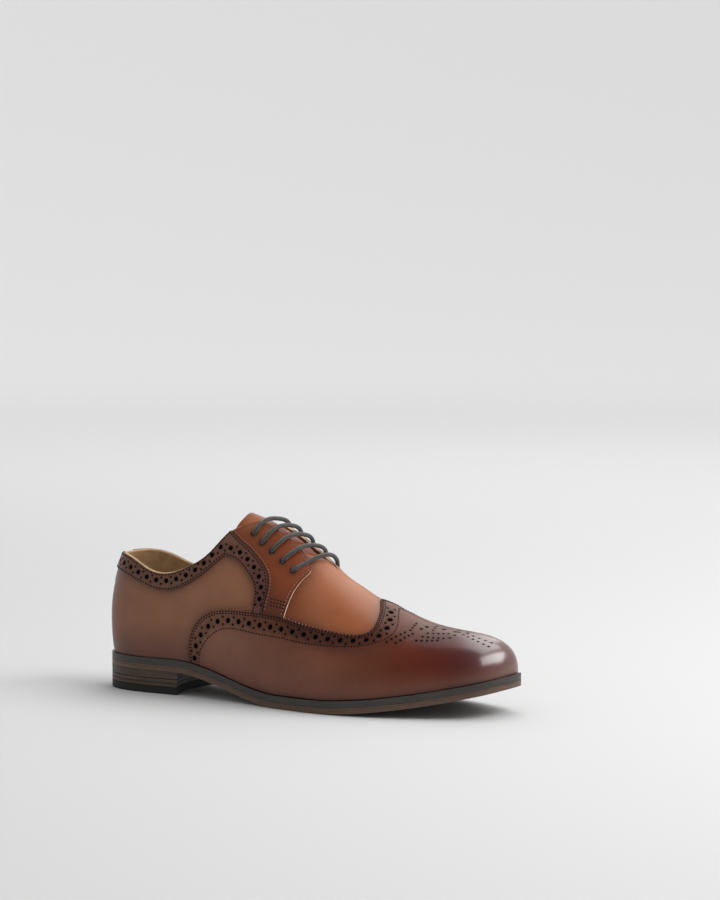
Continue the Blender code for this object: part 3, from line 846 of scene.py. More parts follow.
class Finishes:
    """The shoe's materials, each made once from its finish."""

    def __init__(self, effects: Effects) -> None:
        """Takes the shared effects."""
        self.effects = effects

    def leather(self, finish: LeatherFinish) -> Material:
        """Returns polished leather whose colour, with its painted light patches, and whose seam
        darkening, partly painted shade, are stored on the mesh.

        Args:
            finish: the leather's values.

        Returns:
            The material.
        """
        made, graph, shader = self._start(finish.name)
        graph.fill(shader, Coat_Roughness=finish.coat_roughness, Coat_IOR=finish.coat_ior,
                   Specular_IOR_Level=finish.specular)
        dye_and_light, seam, gloss = (graph.add("ShaderNodeAttribute", attribute_name=name)
                            for name in ("dye_and_light", "seam", "gloss"))
        place = graph.add("ShaderNodeTexCoord")
        grain = graph.add("ShaderNodeGroup", node_tree=self.effects.grain)
        graph.fill(grain, Scale=finish.grain_size)
        burnish_and_shade = graph.add("ShaderNodeGroup", node_tree=self.effects.burnish_and_shade)
        graph.fill(burnish_and_shade, Seam_Dark=finish.seam_dark, Mottle=finish.mottle)
        bump = graph.add("ShaderNodeBump", Distance=finish.grain_depth, Strength=1.0)
        rough = graph.math("ADD", burnish_and_shade.outputs["Rub"], finish.roughness)
        graph.join((place.outputs["Object"], grain.inputs["Place"]),
                   (dye_and_light.outputs["Color"], burnish_and_shade.inputs["Dye And Light"]),
                   (seam.outputs["Fac"], burnish_and_shade.inputs["Seam"]),
                   (grain.outputs["Fleck"], burnish_and_shade.inputs["Fleck"]),
                   (grain.outputs["Height"], bump.inputs["Height"]),
                   (burnish_and_shade.outputs["Color"], shader.inputs["Base Color"]),
                   (gloss.outputs["Fac"], shader.inputs["Coat Weight"]),
                   (rough, shader.inputs["Roughness"]),
                   (bump.outputs[0], shader.inputs["Normal"]))
        return made

    def plain(self, finish: PlainFinish) -> Material:
        """Returns a two-toned material, braided where the finish says so.

        Args:
            finish: the material's values.

        Returns:
            The material.
        """
        made, graph, shader = self._start(finish.name)
        graph.fill(shader, Roughness=finish.roughness, Coat_Weight=finish.coat,
                   Coat_Roughness=finish.coat_roughness, Sheen_Weight=finish.sheen,
                   Specular_IOR_Level=finish.specular)
        place = graph.add("ShaderNodeTexCoord")
        mottle = graph.add("ShaderNodeGroup", node_tree=self.effects.mottle)
        graph.fill(mottle, Stretch=finish.scale, Base=(*finish.base, 1.0), Deep=(*finish.deep, 1.0))
        bump = graph.add("ShaderNodeBump", Distance=finish.bump, Strength=1.0)
        height = mottle.outputs["Height"]
        if finish.braided:
            cord = graph.add("ShaderNodeUVMap", uv_map="cord")
            braid = graph.add("ShaderNodeGroup", node_tree=self.effects.braid)
            graph.join((cord.outputs[0], braid.inputs["Map"]))
            height = braid.outputs["Height"]
        graph.join((place.outputs["Object"], mottle.inputs["Place"]),
                   (height, bump.inputs["Height"]),
                   (mottle.outputs["Color"], shader.inputs["Base Color"]),
                   (bump.outputs[0], shader.inputs["Normal"]))
        return made

    @staticmethod
    def _start(name: str) -> tuple:
        """Returns a new material with its graph and its shader.

        Args:
            name: the material's name.

        Returns:
            The material, its graph and its shader.
        """
        made = bpy.data.materials.new(name)
        made.use_nodes = True
        return made, Graph(made.node_tree), made.node_tree.nodes["Principled BSDF"]


TOE_RED = (0.046, 0.0012, 0.0014)
QUARTER = LeatherFinish(
    "quarter_leather", (0.235, 0.100, 0.054),
    washes=(
        Wash((0.145, 0.074, 0.050), 0.000, 0.250, 0.050, 0.400, 0.90),
        # Darker towards the sole along the heel and the quarters.
        Wash((0.105, 0.044, 0.034), 0.080, 0.000, 0.300, 0.110, 0.85),
        Wash((0.205, 0.055, 0.014), 0.330, 0.620, 0.085, 0.400, 1.00),
        # Paler tan at the top of the vamp by the ridge: a painted highlight.
        Wash((0.290, 0.105, 0.043), 0.315, 0.950, 0.040, 0.260, 0.80),
        Wash((0.175, 0.042, 0.012), 0.262, 0.480, 0.018, 0.300, 0.80),
    ))
FACING = LeatherFinish(
    "facing_leather", (0.165, 0.033, 0.0065),
    washes=(
        Wash((0.270, 0.095, 0.038), 0.195, 0.830, 0.024, 0.100, 0.95),
        Wash((0.090, 0.021, 0.0085), 0.235, 0.420, 0.060, 0.090, 0.90),
    ),
    # The facing's cut edge is pale, and brightened further into a painted highlight line.
    roughness=0.36, coat=0.26, edge=(0.90, 0.62, 0.42))
STRIP = LeatherFinish(
    "strip_leather", (0.160, 0.068, 0.043),
    washes=(
        Wash((0.125, 0.043, 0.034), 0.222, 0.480, 0.038, 0.170, 0.95),
        Wash((0.150, 0.068, 0.043), 0.070, 0.340, 0.060, 0.200, 0.50),
    ),
    edge=(0.060, 0.022, 0.016))
CAP = LeatherFinish(
    "toe_leather", (0.100, 0.029, 0.013),
    washes=(
        Wash((0.225, 0.105, 0.068), 0.170, 0.160, 0.070, 0.230, 0.95),
        Wash((0.165, 0.064, 0.039), 0.270, 0.220, 0.065, 0.190, 0.85),
        Wash((0.080, 0.0120, 0.0040), 0.400, 0.450, 0.045, 0.330, 0.90),
        Wash(TOE_RED, 0.460, 0.420, 0.050, 0.420, 1.00),
        # Paler, greyer band along the cap's lower part: a painted reflection of the floor.
        Wash((0.165, 0.072, 0.054), 0.300, 0.000, 0.300, 0.150, 0.75),
        Wash((0.060, 0.017, 0.010), 0.280, 0.380, 0.050, 0.060, 0.70),
        Wash((0.055, 0.015, 0.010), 0.315, 0.430, 0.030, 0.060, 0.80),
        Wash((0.055, 0.015, 0.010), 0.345, 0.530, 0.016, 0.100, 0.70),
    ),
    roughness=0.30, coat=0.10, coat_roughness=0.24, coat_ior=1.7, specular=0.04,
    shine=(1.15, 0.492, 0.40, 0.036, 0.45), edge=(0.300, 0.150, 0.085))
RAW_DEEP = 0.7
RAW_ROUGH = 0.7
LINING = PlainFinish("lining_leather", (0.440, 0.290, 0.155), (0.300, 0.180, 0.090), 0.62,
                     (150.0, 150.0, 150.0), 0.00015)
# Near-black floor laid in every hole over the leather beneath: painted shadow.
HOLE_SHADOW = PlainFinish("painted_hole_shadow", (0.004, 0.002, 0.002), (0.002, 0.001, 0.001), 0.9,
                      specular=0.05)
# The holes' cut walls, far darker than the cap's and facings' raw edges: painted shade inside the
# holes.
HOLE_WALL = PlainFinish("hole_wall", (0.060, 0.032, 0.026), (0.030, 0.015, 0.012), 0.7)
THREAD_DARK = PlainFinish("thread_dark", (0.010, 0.003, 0.003), (0.006, 0.002, 0.002), 0.8,
                          specular=0.1)
THREAD_PALE = PlainFinish("thread_pale", (0.240, 0.095, 0.055), (0.160, 0.060, 0.034), 0.6)
WELT = PlainFinish("welt_edge", (0.050, 0.044, 0.038), (0.032, 0.028, 0.025), 0.45,
                   (60.0, 60.0, 900.0), 0.00010, coat=0.08)
OUTSOLE = PlainFinish("outsole_edge", (0.115, 0.070, 0.048), (0.075, 0.046, 0.032), 0.48,
                      (50.0, 50.0, 1500.0), 0.00014, coat=0.06)
STACK = PlainFinish("stacked_leather", (0.090, 0.058, 0.040), (0.030, 0.019, 0.013), 0.50,
                    (45.0, 45.0, 1500.0), 0.00022, coat=0.05)
RUBBER = PlainFinish("heel_rubber", (0.014, 0.014, 0.013), (0.009, 0.009, 0.009), 0.62,
                     (400.0, 400.0, 400.0), 0.00008)
CORD = PlainFinish("lace_cord", (0.082, 0.077, 0.070), (0.013, 0.012, 0.011), 0.45,
                   (1100.0, 1100.0, 1100.0), 0.00035, sheen=0.25, braided=True)
SOCK = PlainFinish("sock_leather", (0.330, 0.205, 0.105), (0.250, 0.150, 0.072), 0.55,
                   (120.0, 120.0, 120.0), 0.00012)


def put(name: str, points: Array, faces: Sequence, materials: Sequence,
        slots: Optional[Sequence[int]] = None, normals: Optional[Array] = None) -> Piece:
    """Adds a mesh object in the shared frame.

    Args:
        name: the piece's name.
        points: its points.
        faces: its faces, as rows of point numbers.
        materials: its materials.
        slots: the material of each face.
        normals: a normal for each corner of each face, in order.

    Returns:
        The object.
    """
    mesh = bpy.data.meshes.new(name)
    mesh.from_pydata(np.asarray(points).tolist(), [], [list(map(int, f)) for f in faces])
    for item in materials:
        mesh.materials.append(item)
    if slots is not None:
        mesh.polygons.foreach_set("material_index", np.asarray(slots, np.int32))
    mesh.shade_smooth()
    if normals is not None:
        mesh.normals_split_custom_set(np.asarray(normals).tolist())
    made = bpy.data.objects.new(name, mesh)
    bpy.context.scene.collection.objects.link(made)
    return made


def settle(piece: Piece, slot: str, *nodes: str) -> Piece:
    """Rides a piece on the shoe and hides the solids it stands for.

    Args:
        piece: the piece.
        slot: not used.
        nodes: the solids it stands for.

    Returns:
        The piece.
    """
    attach(piece, "root")
    if nodes:
        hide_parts(*nodes)
    LOG.info("%s: %d faces", piece.name, len(piece.data.polygons))
    return piece


def store(piece: Piece, finish: LeatherFinish, places: Array, seam: Array) -> None:
    """Stores colour with its painted light patches, seam darkening that is partly painted shade,
    and polish on a piece's points.

    Args:
        piece: the piece, whose first points lie at the places and the rest on raw edges.
        finish: the leather.
        places: the places of the dyed points.
        seam: how near each of them is to a seam, 0 to 1.
    """
    rest = len(piece.data.vertices) - len(places)
    dye_and_light = np.vstack([finish.dye_and_light(places[:, 0], places[:, 1]), np.tile(finish.edge, (rest, 1))])
    gloss = np.concatenate([finish.gloss(places[:, 0], places[:, 1]), np.zeros(rest)])
    seam = np.concatenate([seam, np.zeros(rest)])
    color = piece.data.attributes.new("dye_and_light", "FLOAT_COLOR", "POINT")
    full = np.concatenate([dye_and_light, np.ones((len(dye_and_light), 1))], axis=1)
    color.data.foreach_set("color", full.astype(np.float32).ravel())
    for name, values in (("seam", seam), ("gloss", gloss)):
        layer = piece.data.attributes.new(name, "FLOAT", "POINT")
        layer.data.foreach_set("value", np.asarray(values, np.float32))


def gathered(parts: Sequence[tuple[Array, Array]]) -> tuple[Array, Array]:
    """Returns parts' points and faces as one mesh's.

    Args:
        parts: the points and the faces of each part.

    Returns:
        All points, and all faces with their point numbers shifted.
    """
    starts = np.cumsum([0] + [len(points) for points, _ in parts])
    faces = [part[1] + start for part, start in zip(parts, starts)]
    return np.vstack([part[0] for part in parts]), np.vstack(faces)


def grid_faces(columns: int, rows: int, closed: bool = False) -> Array:
    """Returns quads of a grid whose points run up each column in turn.

    Args:
        columns: how many columns.
        rows: points in a column.
        closed: whether the last column meets the first.

    Returns:
        Four point numbers a face.
    """
    first = np.arange(columns if closed else columns - 1)
    after = (first + 1) % columns
    j = np.arange(rows - 1)
    a = (first[:, None] * rows + j).ravel()
    b = (after[:, None] * rows + j).ravel()
    return np.stack([a, b, b + 1, a + 1], -1)


def inside(points: Array, outline: Array) -> Array:
    """Returns which of the flat points lie inside the closed outline.

    Args:
        points: flat points.
        outline: the outline's corners.

    Returns:
        True or false for each point.
    """
    hit = np.zeros(len(points), bool)
    x, y = points.T
    for (ax, ay), (bx, by) in zip(outline, np.roll(outline, -1, axis=0)):
        span = (ay > y) != (by > y)
        if ay != by:
            hit ^= span & (x < (bx - ax) * (y - ay) / (by - ay) + ax)
    return hit


def tree_of(points: Array) -> KDTree:
    """Returns a search tree of the points.

    Args:
        points: the points.

    Returns:
        The tree.
    """
    tree = KDTree(len(points))
    for i, point in enumerate(points):
        tree.insert(point, i)
    tree.balance()
    return tree


def gap_to(tree: KDTree, points: Array) -> Array:
    """Returns each point's distance to the nearest point of a tree."""
    return np.array([tree.find(point)[2] for point in points])


BIG_SIDES = 14
SMALL_SIDES = 8
EYELET_SIDES = 18


class Hole(NamedTuple):
    """A punched hole: its place on the outer side, its radius and how many sides it has."""

    place: tuple[float, float]
    radius: float
    sides: int


@dataclass
class Panel:
    """A leather panel laid over the last, with a rounded edge and punched holes."""

    outline: Array
    holes: Sequence[Hole] = ()
    joined: Optional[Array] = None
    low: float = 0.05 * MM
    top: float = 1.5 * MM
    step: float = 2.0 * MM
    round_step: float = 0.35 * MM
    round_drop: float = 0.40 * MM
    seam_reach: float = 2.5 * MM
    floor_lift: float = 0.25 * MM
    bridge: float = 0.5 * MM
    grid_clear: float = 2.4
    ring_clear: float = 0.8
    edge_turn: float = 0.9
    merge: float = 1e-4
    places: Array = field(init=False)

    def __post_init__(self) -> None:
        """Cuts the panel flat into triangles, on the outer side."""
        self.holes = self._clear_holes()
        rings = [self.outline] + [LAST.circle(h.place, h.radius, h.sides) for h in self.holes]
        turns = [np.arange(len(ring)) for ring in rings]
        border, edges = gathered([(ring, np.stack([at, (at + 1) % len(ring)], -1))
                                  for ring, at in zip(rings, turns)])
        free = [self._inner_ring()]
        free += [LAST.circle(h.place, h.radius + self.round_step, h.sides) for h in self.holes]
        extra = np.vstack(free)
        tree = tree_of(LAST.skin(border))
        grid = self._grid()
        grid = grid[gap_to(tree, LAST.skin(grid)) > self.grid_clear * self.round_step]
        extra = extra[inside(extra * LAST.flat, self.outline * LAST.flat)]
        all_places = np.vstack([border, extra, grid])
        flat = [Vector(p) for p in all_places * LAST.flat / MM]
        made = delaunay_2d_cdt(flat, edges.tolist(), [], 0, self.merge, True)
        coords = np.array([tuple(p) for p in made[0]]) * MM
        faces = np.array(made[2])
        centre = coords[faces].mean(1)
        keep = inside(centre, self.outline * LAST.flat)
        for ring in rings[1:]:
            keep &= ~self._in_ring(centre, ring * LAST.flat)
        self.faces = self._turned(coords, faces[keep])
        self.places = coords / LAST.flat
        self.rings = rings
        self.origin = np.array([min(o) if o else -1 for o in made[3]])
        self.border_count = len(border)
        if self.joined is None:
            self.joined = np.zeros(len(self.outline), bool)
        loose = np.concatenate([~self.joined, np.ones(len(border) - len(self.outline), bool)])
        self.gap = gap_to(tree_of(LAST.skin(border[loose])), LAST.skin(self.places))

    def _clear_holes(self) -> list[Hole]:
        """Returns the holes that lie clear of the outline and of those before them.

        Returns:
            The holes that are kept.
        """
        edge = tree_of(LAST.skin(self.outline))
        kept, centres = [], []
        for hole in self.holes:
            centre = LAST.skin(np.array(hole.place))
            clear = edge.find(centre)[2] > hole.radius + self.bridge
            for other, at in zip(kept, centres):
                clear &= np.linalg.norm(at - centre) > hole.radius + other.radius + self.bridge
            if clear:
                kept.append(hole)
                centres.append(centre)
        return kept

    @staticmethod
    def _in_ring(points: Array, ring: Array) -> Array:
        """Returns which flat points lie inside one hole's ring.

        Args:
            points: flat points.
            ring: the hole's ring.

        Returns:
            True or false for each point.
        """
        hit = np.zeros(len(points), bool)
        low, high = ring.min(0), ring.max(0)
        near = np.flatnonzero(((points >= low) & (points <= high)).all(1))
        if len(near):
            hit[near] = inside(points[near], ring)
        return hit

    @staticmethod
    def _turned(coords: Array, faces: Array) -> Array:
        """Returns the triangles all turned the same way.

        Args:
            coords: flat points.
            faces: the triangles.

        Returns:
            The triangles that have an area.
        """
        a, b, c = coords[faces[:, 0]], coords[faces[:, 1]], coords[faces[:, 2]]
        cross = (b - a)[:, 0] * (c - a)[:, 1] - (b - a)[:, 1] * (c - a)[:, 0]
        faces = faces.copy()
        faces[cross < 0] = faces[cross < 0][:, ::-1]
        return faces[np.abs(cross) > TINY]

    def _inner_ring(self) -> Array:
        """Returns a ring just inside the outline, where its rounding ends.

        Returns:
            The ring's places.
        """
        flat = self.outline * LAST.flat
        area = np.sum(flat[:, 0] * np.roll(flat[:, 1], -1) - np.roll(flat[:, 0], -1) * flat[:, 1])
        points = LAST.skin(self.outline)
        run = unit(np.roll(points, -1, axis=0) - np.roll(points, 1, axis=0))
        normal = LAST.normal(self.outline[:, 0], self.outline[:, 1])
        inward = np.cross(normal, run) * np.sign(area)
        ring = LAST.moved(self.outline, inward * self.round_step)
        tree = tree_of(points)
        return ring[gap_to(tree, LAST.skin(ring)) > self.ring_clear * self.round_step]

    def _grid(self) -> Array:
        """Returns staggered places that fill the panel.

        Returns:
            The places.
        """
        low, high = self.outline.min(0), self.outline.max(0)
        step = self.step / LAST.flat
        around = np.arange(low[0], high[0], step[0])
        up = np.arange(low[1], high[1], step[1])
        grid = np.stack(np.meshgrid(around, up, indexing="ij"), -1)
        grid[:, ::2, 0] += step[0] / 2
        grid = grid.reshape(-1, 2)
        return grid[inside(grid * LAST.flat, self.outline * LAST.flat)]

    def build(self, name: str, finish: LeatherFinish, materials: Sequence,
              to_side: Callable, flip: bool) -> Piece:
        """Builds the panel as a mesh object.

        Args:
            name: the piece's name.
            finish: the leather's finish.
            materials: leather, raw edge, the holes' floor of painted shadow and their wall darkened
                as painted shade.
            to_side: turns places of the outer side into the wanted side's places.
            flip: whether that side turns the faces round.

        Returns:
            The object.
        """
        places = to_side(self.places)
        drop = self.round_drop * np.clip(1 - self.gap / self.round_step, 0, 1)
        points = LAST.skin(places, self.top - drop)
        faces = self.faces[:, ::-1] if flip else self.faces
        normals = LAST.normal(places[:, 0], places[:, 1])
        edge_from, edge_to = self._open_edges(faces)
        out = unit(np.cross(points[edge_to] - points[edge_from], normals[edge_from]))
        lean = np.zeros_like(points)
        np.add.at(lean, edge_from, out)
        np.add.at(lean, edge_to, out)
        lean = unit(lean)
        on_edge = (self.gap < self.merge * MM)[:, None]
        top_normals = unit(normals + self.edge_turn * lean * on_edge)
        rim = np.unique(np.concatenate([edge_from, edge_to]))
        base_of = np.full(len(points), -1)
        base_of[rim] = np.arange(len(rim)) + len(points)
        base = LAST.skin(places[rim], self.low)
        walls = np.stack([edge_to, edge_from, base_of[edge_from], base_of[edge_to]], -1)
        is_hole = self._edge_is_hole(edge_from)
        loops = [top_normals[faces].reshape(-1, 3)]
        wall_normals = np.stack([lean[edge_to], lean[edge_from], lean[edge_from], lean[edge_to]], 1)
        loops.append(wall_normals.reshape(-1, 3))
        floors, floor_normals = self._floors(places, normals, flip)
        slots = np.concatenate([np.zeros(len(faces)), np.where(is_hole, 3, 1),
                                np.full(len(floors[1]), 2)])
        floor_faces = [[i + len(points) + len(base) for i in f] for f in floors[1]]
        loops.append(floor_normals)
        all_points = np.vstack([points, base, floors[0]])
        all_faces = faces.tolist() + walls.tolist() + floor_faces
        piece = put(name, all_points, all_faces, materials, slots, np.vstack(loops))
        store(piece, finish, places, np.exp(-self.gap / self.seam_reach))
        return piece

    def _open_edges(self, faces: Array) -> tuple[Array, Array]:
        """Returns the edges that only one triangle has, in its turn, but for joined ones.

        Args:
            faces: the triangles.

        Returns:
            Where each edge starts and where it ends.
        """
        pairs = np.vstack([faces[:, [0, 1]], faces[:, [1, 2]], faces[:, [2, 0]]])
        key = np.sort(pairs, axis=1)
        _, index, count = np.unique(key, axis=0, return_index=True, return_counts=True)
        once = pairs[index[count == 1]]
        own = (self.origin[once] >= 0) & (self.origin[once] < len(self.outline))
        joined = (own & self.joined[np.clip(self.origin[once], 0, len(self.outline) - 1)]).all(1)
        return once[~joined, 0], once[~joined, 1]

    def _edge_is_hole(self, edge_from: Array) -> Array:
        """Returns which open edges belong to holes."""
        return self.origin[edge_from] >= len(self.outline)

    def _floors(self, places: Array, normals: Array, flip: bool) -> tuple:
        """Returns the holes' floors, near-black sheets of painted shadow, as points, faces and
        corner normals.

        Args:
            places: the panel's places.
            normals: their normals.
            flip: whether faces turn round.

        Returns:
            The points and faces, and the corners' normals.
        """
        points, faces, loops = [], [], []
        start = len(self.outline)
        place_of = {o: i for i, o in enumerate(self.origin) if 0 <= o < self.border_count}
        for ring in self.rings[1:]:
            numbers = [place_of[start + k] for k in range(len(ring)) if start + k in place_of]
            start += len(ring)
            base = len(points)
            points += LAST.skin(places[numbers], self.floor_lift).tolist()
            face = list(range(base, base + len(numbers)))
            faces.append(face[::-1] if flip else face)
            loops += normals[numbers].tolist()
        if not points:
            return (np.zeros((0, 3)), []), np.zeros((0, 3))
        return (np.array(points), faces), np.array(loops)


@dataclass
class StitchRow:
    """A row of stitches along a line on the last."""

    pitch: float = 2.3 * MM
    length: float = 1.65 * MM
    width: float = 1.0 * MM
    height: float = 0.55 * MM
    sides: int = 6
    sink: float = 0.35
    profile: tuple[tuple[float, float], ...] = (
        (-0.5, 0.25), (-0.32, 0.85), (0.0, 1.0), (0.32, 0.85), (0.5, 0.25))

    def mesh(self, places: Array, lift: float) -> tuple[Array, Array]:
        """Returns the row's points and faces.

        Args:
            places: evenly spaced places, one a stitch.
            lift: the height of the leather there.

        Returns:
            The points and the faces.
        """
        points = LAST.skin(places, lift)
        run = unit(np.gradient(points, axis=0))
        normal = LAST.normal(places[:, 0], places[:, 1])
        across = unit(np.cross(normal, run))
        turn = np.arange(self.sides) / self.sides * 2 * np.pi
        rings = []
        for along, fat in self.profile:
            sink = (1 - fat) * self.sink * self.height
            centre = points + run * along * self.length - normal * sink
            for angle in turn:
                rings.append(centre + fat / 2 * (math.cos(angle) * self.width * across
                                                 + math.sin(angle) * self.height * normal))
        stack = np.stack(rings, 1)
        tube = []
        for ring in range(len(self.profile) - 1):
            for k in range(self.sides):
                a = ring * self.sides + k
                b = ring * self.sides + (k + 1) % self.sides
                tube.append((a, b, b + self.sides, a + self.sides))
        faces = np.array(tube)[None] + (np.arange(len(points)) * stack.shape[1])[:, None, None]
        return stack.reshape(-1, 3), faces.reshape(-1, 4)


class Stitches:
    """Rows of stitches gathered into one piece for each thread."""

    def __init__(self) -> None:
        """Starts with no rows."""
        self.rows: list[tuple[Array, Array]] = []

    def add(self, line: Array, lift: float, to_side: Callable, row: StitchRow,
            start: float = 0.8 * MM, end: float = 0.8 * MM) -> None:
        """Adds a row.

        Args:
            line: its dense line on the outer side.
            lift: the height of the leather.
            to_side: turns places into the wanted side's places.
            row: the stitches' sizes.
            start: the length left free at the start.
            end: the length left free at the end.
        """
        self.rows.append(row.mesh(LAST.evenly(to_side(line), row.pitch, start, end), lift))

    def build(self, name: str, material: Material) -> Piece:
        """Builds the rows as one piece."""
        return put(name, *gathered(self.rows), [material])


def outer(places: Array) -> Array:
    """Returns the outer side's places."""
    return LAST.to_side(places, Side.OUTER)


def inner(places: Array) -> Array:
    """Returns the places' partners on the inner side, a lead ahead."""
    return LAST.to_side(places, Side.INNER)


def mirrored(places: Array) -> Array:
    """Returns the places' mirror partners on the inner side."""
    return np.asarray(places, float) * (-1, 1) + (1, 0)


SIDES = (("outer", outer, False), ("inner", inner, True))
HALVES = (("outer", outer, False), ("inner", mirrored, True))


@dataclass
class WingCap:
    """The winged toe cap with its pinked edge, its strip of holes and its toe pattern."""

    foot: float = 0.004
    tooth_pitch: float = 2.6 * MM
    tooth_depth: float = 0.70 * MM
    hole_pitch: float = 8.7 * MM
    big_radius: float = 1.80 * MM
    small_radius: float = 0.78 * MM
    small_aside: float = 2.45 * MM
    pattern_radius: float = 0.80 * MM
    strip_middle: float = 0.56
    first_row: float = 1.1 * MM
    second_row: float = 2.6 * MM
    free_start: float = 4.0 * MM
    free_end: float = 2.6 * MM
    dense: int = 400

    def edge(self) -> Array:
        """Returns the wing's edge, from the sole by the wing's top to the ridge."""
        start = Place(WING_EDGE[0].around, self.foot)
        return LAST.drawn((start,) + WING_EDGE + WING_PEAK)(np.linspace(0, 1, self.dense))

    def inner_line(self) -> Array:
        """Returns the strip's inner stitch line, from the sole to the ridge."""
        return LAST.drawn(WING_STITCH)(np.linspace(0, 1, self.dense))

    def pinked(self) -> Array:
        """Returns the edge with its teeth.

        Returns:
            The places of the toothed edge.
        """
        even = LAST.evenly(self.edge(), self.tooth_pitch / 4)
        wave = np.array([0.0, 1.0, 0.0, -1.0])[np.arange(len(even)) % 4]
        wave[0] = wave[-1] = 0.0
        return LAST.beside(even, wave * self.tooth_depth)

    def outline(self) -> tuple[Array, Array]:
        """Returns the outer half's outline, and which of its points join the other half.

        Returns:
            The outline's places and a mask of the joined ones.
        """
        edge = self.pinked()
        edge[0, 1] = self.foot
        edge[-1, 1] = 1.0
        ridge = np.linspace(edge[-1, 0], TOE, 90)[1:]
        toe = np.linspace(1.0, self.foot, 60)[1:]
        sole = np.linspace(TOE, edge[0, 0], 120)[1:-1]
        line = np.vstack([
            edge,
            np.stack([ridge, np.ones_like(ridge)], -1),
            np.stack([np.full_like(toe, TOE), toe], -1),
            np.stack([sole, np.full_like(sole, self.foot)], -1),
        ])
        return line, (line[:, 0] == TOE) | (line[:, 1] == 1.0)

    def strip_holes(self) -> list[Hole]:
        """Returns the strip's large holes, with small pairs between them.

        Returns:
            The holes.
        """
        share = self.strip_middle
        middle = (1 - share) * self.edge() + share * self.inner_line()
        even = LAST.evenly(middle, self.hole_pitch / 2, self.free_start, self.free_end)
        holes = [Hole(tuple(p), self.big_radius, BIG_SIDES) for p in even[::2]]
        for aside in (self.small_aside, -self.small_aside):
            small = LAST.beside(even, aside)[1::2]
            holes += [Hole(tuple(p), self.small_radius, SMALL_SIDES) for p in small]
        return holes

    def toe_holes(self) -> list[Hole]:
        """Returns the toe's pattern of short rows, alike on both sides.

        Returns:
            The holes.
        """
        holes = []
        for row in TOE_PATTERN:
            for share in np.linspace(0, 1, row.count):
                place = (row.start[0] + (row.end[0] - row.start[0]) * share,
                         row.start[1] + (row.end[1] - row.start[1]) * share)
                holes.append(Hole(place, row.size * self.pattern_radius, SMALL_SIDES))
        return holes

    def build(self, materials: Sequence, dark: Stitches) -> None:
        """Builds the cap's two halves and its stitches.

        Args:
            materials: leather, raw edge, the holes' floor of painted shadow and their wall darkened
                as painted shade.
            dark: the dark thread's rows.
        """
        outline, joined = self.outline()
        panel = Panel(outline, self.strip_holes() + self.toe_holes(), joined)
        edge = self.edge()
        row = StitchRow()
        for name, turn, flip in HALVES:
            half = panel.build("wing_cap_" + name, CAP, materials, turn, flip)
            settle(half, "toe_leather", "wing_cap")
            dark.add(LAST.beside(edge, -self.first_row), panel.top, turn, row)
            dark.add(LAST.beside(edge, -self.second_row), panel.top, turn, row)
            dark.add(self.inner_line(), panel.top, turn, row)


class DotRow(NamedTuple):
    """A row of the toe's pattern: its two ends, how many holes it has and their size."""

    start: tuple[float, float]
    end: tuple[float, float]
    count: int
    size: float = 1.0


TOE_PATTERN = (
    DotRow((0.412, 0.860), (0.436, 0.900), 2, 1.5),
    DotRow((0.405, 0.790), (0.452, 0.880), 2, 1.3),
    DotRow((0.368, 0.520), (0.386, 0.670), 5),
    DotRow((0.378, 0.530), (0.395, 0.680), 5),
    DotRow((0.392, 0.720), (0.398, 0.860), 4),
    DotRow((0.400, 0.600), (0.424, 0.640), 5),
    DotRow((0.407, 0.670), (0.432, 0.690), 5),
    DotRow((0.413, 0.740), (0.440, 0.800), 5),
    DotRow((0.420, 0.820), (0.426, 0.940), 3),
    DotRow((0.440, 0.710), (0.448, 0.780), 2),
    DotRow((0.458, 0.880), (0.479, 0.530), 7),
    DotRow((0.470, 0.860), (0.486, 0.600), 5),
    DotRow((0.462, 0.960), (0.476, 0.930), 2),
)


@dataclass
class Facings:
    """The two eyelet panels."""

    eyelet_radius: float = 2.15 * MM
    front_inset: float = 2.0 * MM
    rear_inset: float = 1.3 * MM
    row_free: float = 2.0 * MM
    tuck: float = 0.004
    rear_shift: tuple[float, float] = (0.0009, 0.005)
    tack_start: Place = Place(0.2365, 0.456)
    tack_end: Place = Place(0.2515, 0.474)
    tack_step: float = 0.016
    tack_rows: int = 3
    dense: int = 240

    def lines(self) -> tuple[Array, Array]:
        """Returns the rear line and the front line, dense.

        Returns:
            The two lines' places.
        """
        share = np.linspace(0, 1, self.dense)
        rear, front = LAST.drawn(FACING_REAR)(share), LAST.drawn(FACING_FRONT)(share)
        for line in (rear, front):
            line[-1, 1] = LAST.wing(line[-1, 0])[0] + self.tuck
        return rear + self.rear_shift, front

    def build(self, materials: Sequence, pale: Stitches, dark: Stitches) -> None:
        """Builds both facings with their stitches.

        Args:
            materials: leather, raw edge, the holes' floor of painted shadow and their wall darkened
                as painted shade.
            pale: the pale thread's rows.
            dark: the dark thread's rows.
        """
        rear, front = self.lines()
        top = np.linspace(rear[0], front[0], 20)[1:-1]
        foot = np.linspace(front[-1], rear[-1], 26)[1:-1]
        foot[:, 1] = LAST.wing(foot[:, 0])[:, 0] - self.tuck
        rear_line = LAST.evenly(rear, 1.0 * MM)
        outline = np.vstack([rear_line[:1], top, LAST.evenly(front, 0.8 * MM), foot,
                             rear_line[:0:-1]])
        holes = [Hole(tuple(p), self.eyelet_radius, EYELET_SIDES) for p in EYELETS]
        panel = Panel(outline, holes)
        row = StitchRow()
        for name, turn, flip in SIDES:
            piece = panel.build("facing_" + name, FACING, materials, turn, flip)
            settle(piece, "facing_leather",
                   "facing_lateral" if name == "outer" else "facing_medial")
            for line in (LAST.beside(front, -self.front_inset), LAST.beside(rear, self.rear_inset)):
                pale.add(line, panel.top, turn, row, self.row_free, self.row_free)
            for k in range(self.tack_rows):
                drop = np.array([0.0, self.tack_step * k])
                bar = np.linspace(self.tack_start - drop, self.tack_end - drop, 30)
                dark.add(bar, panel.top, turn, row, 0, 0)


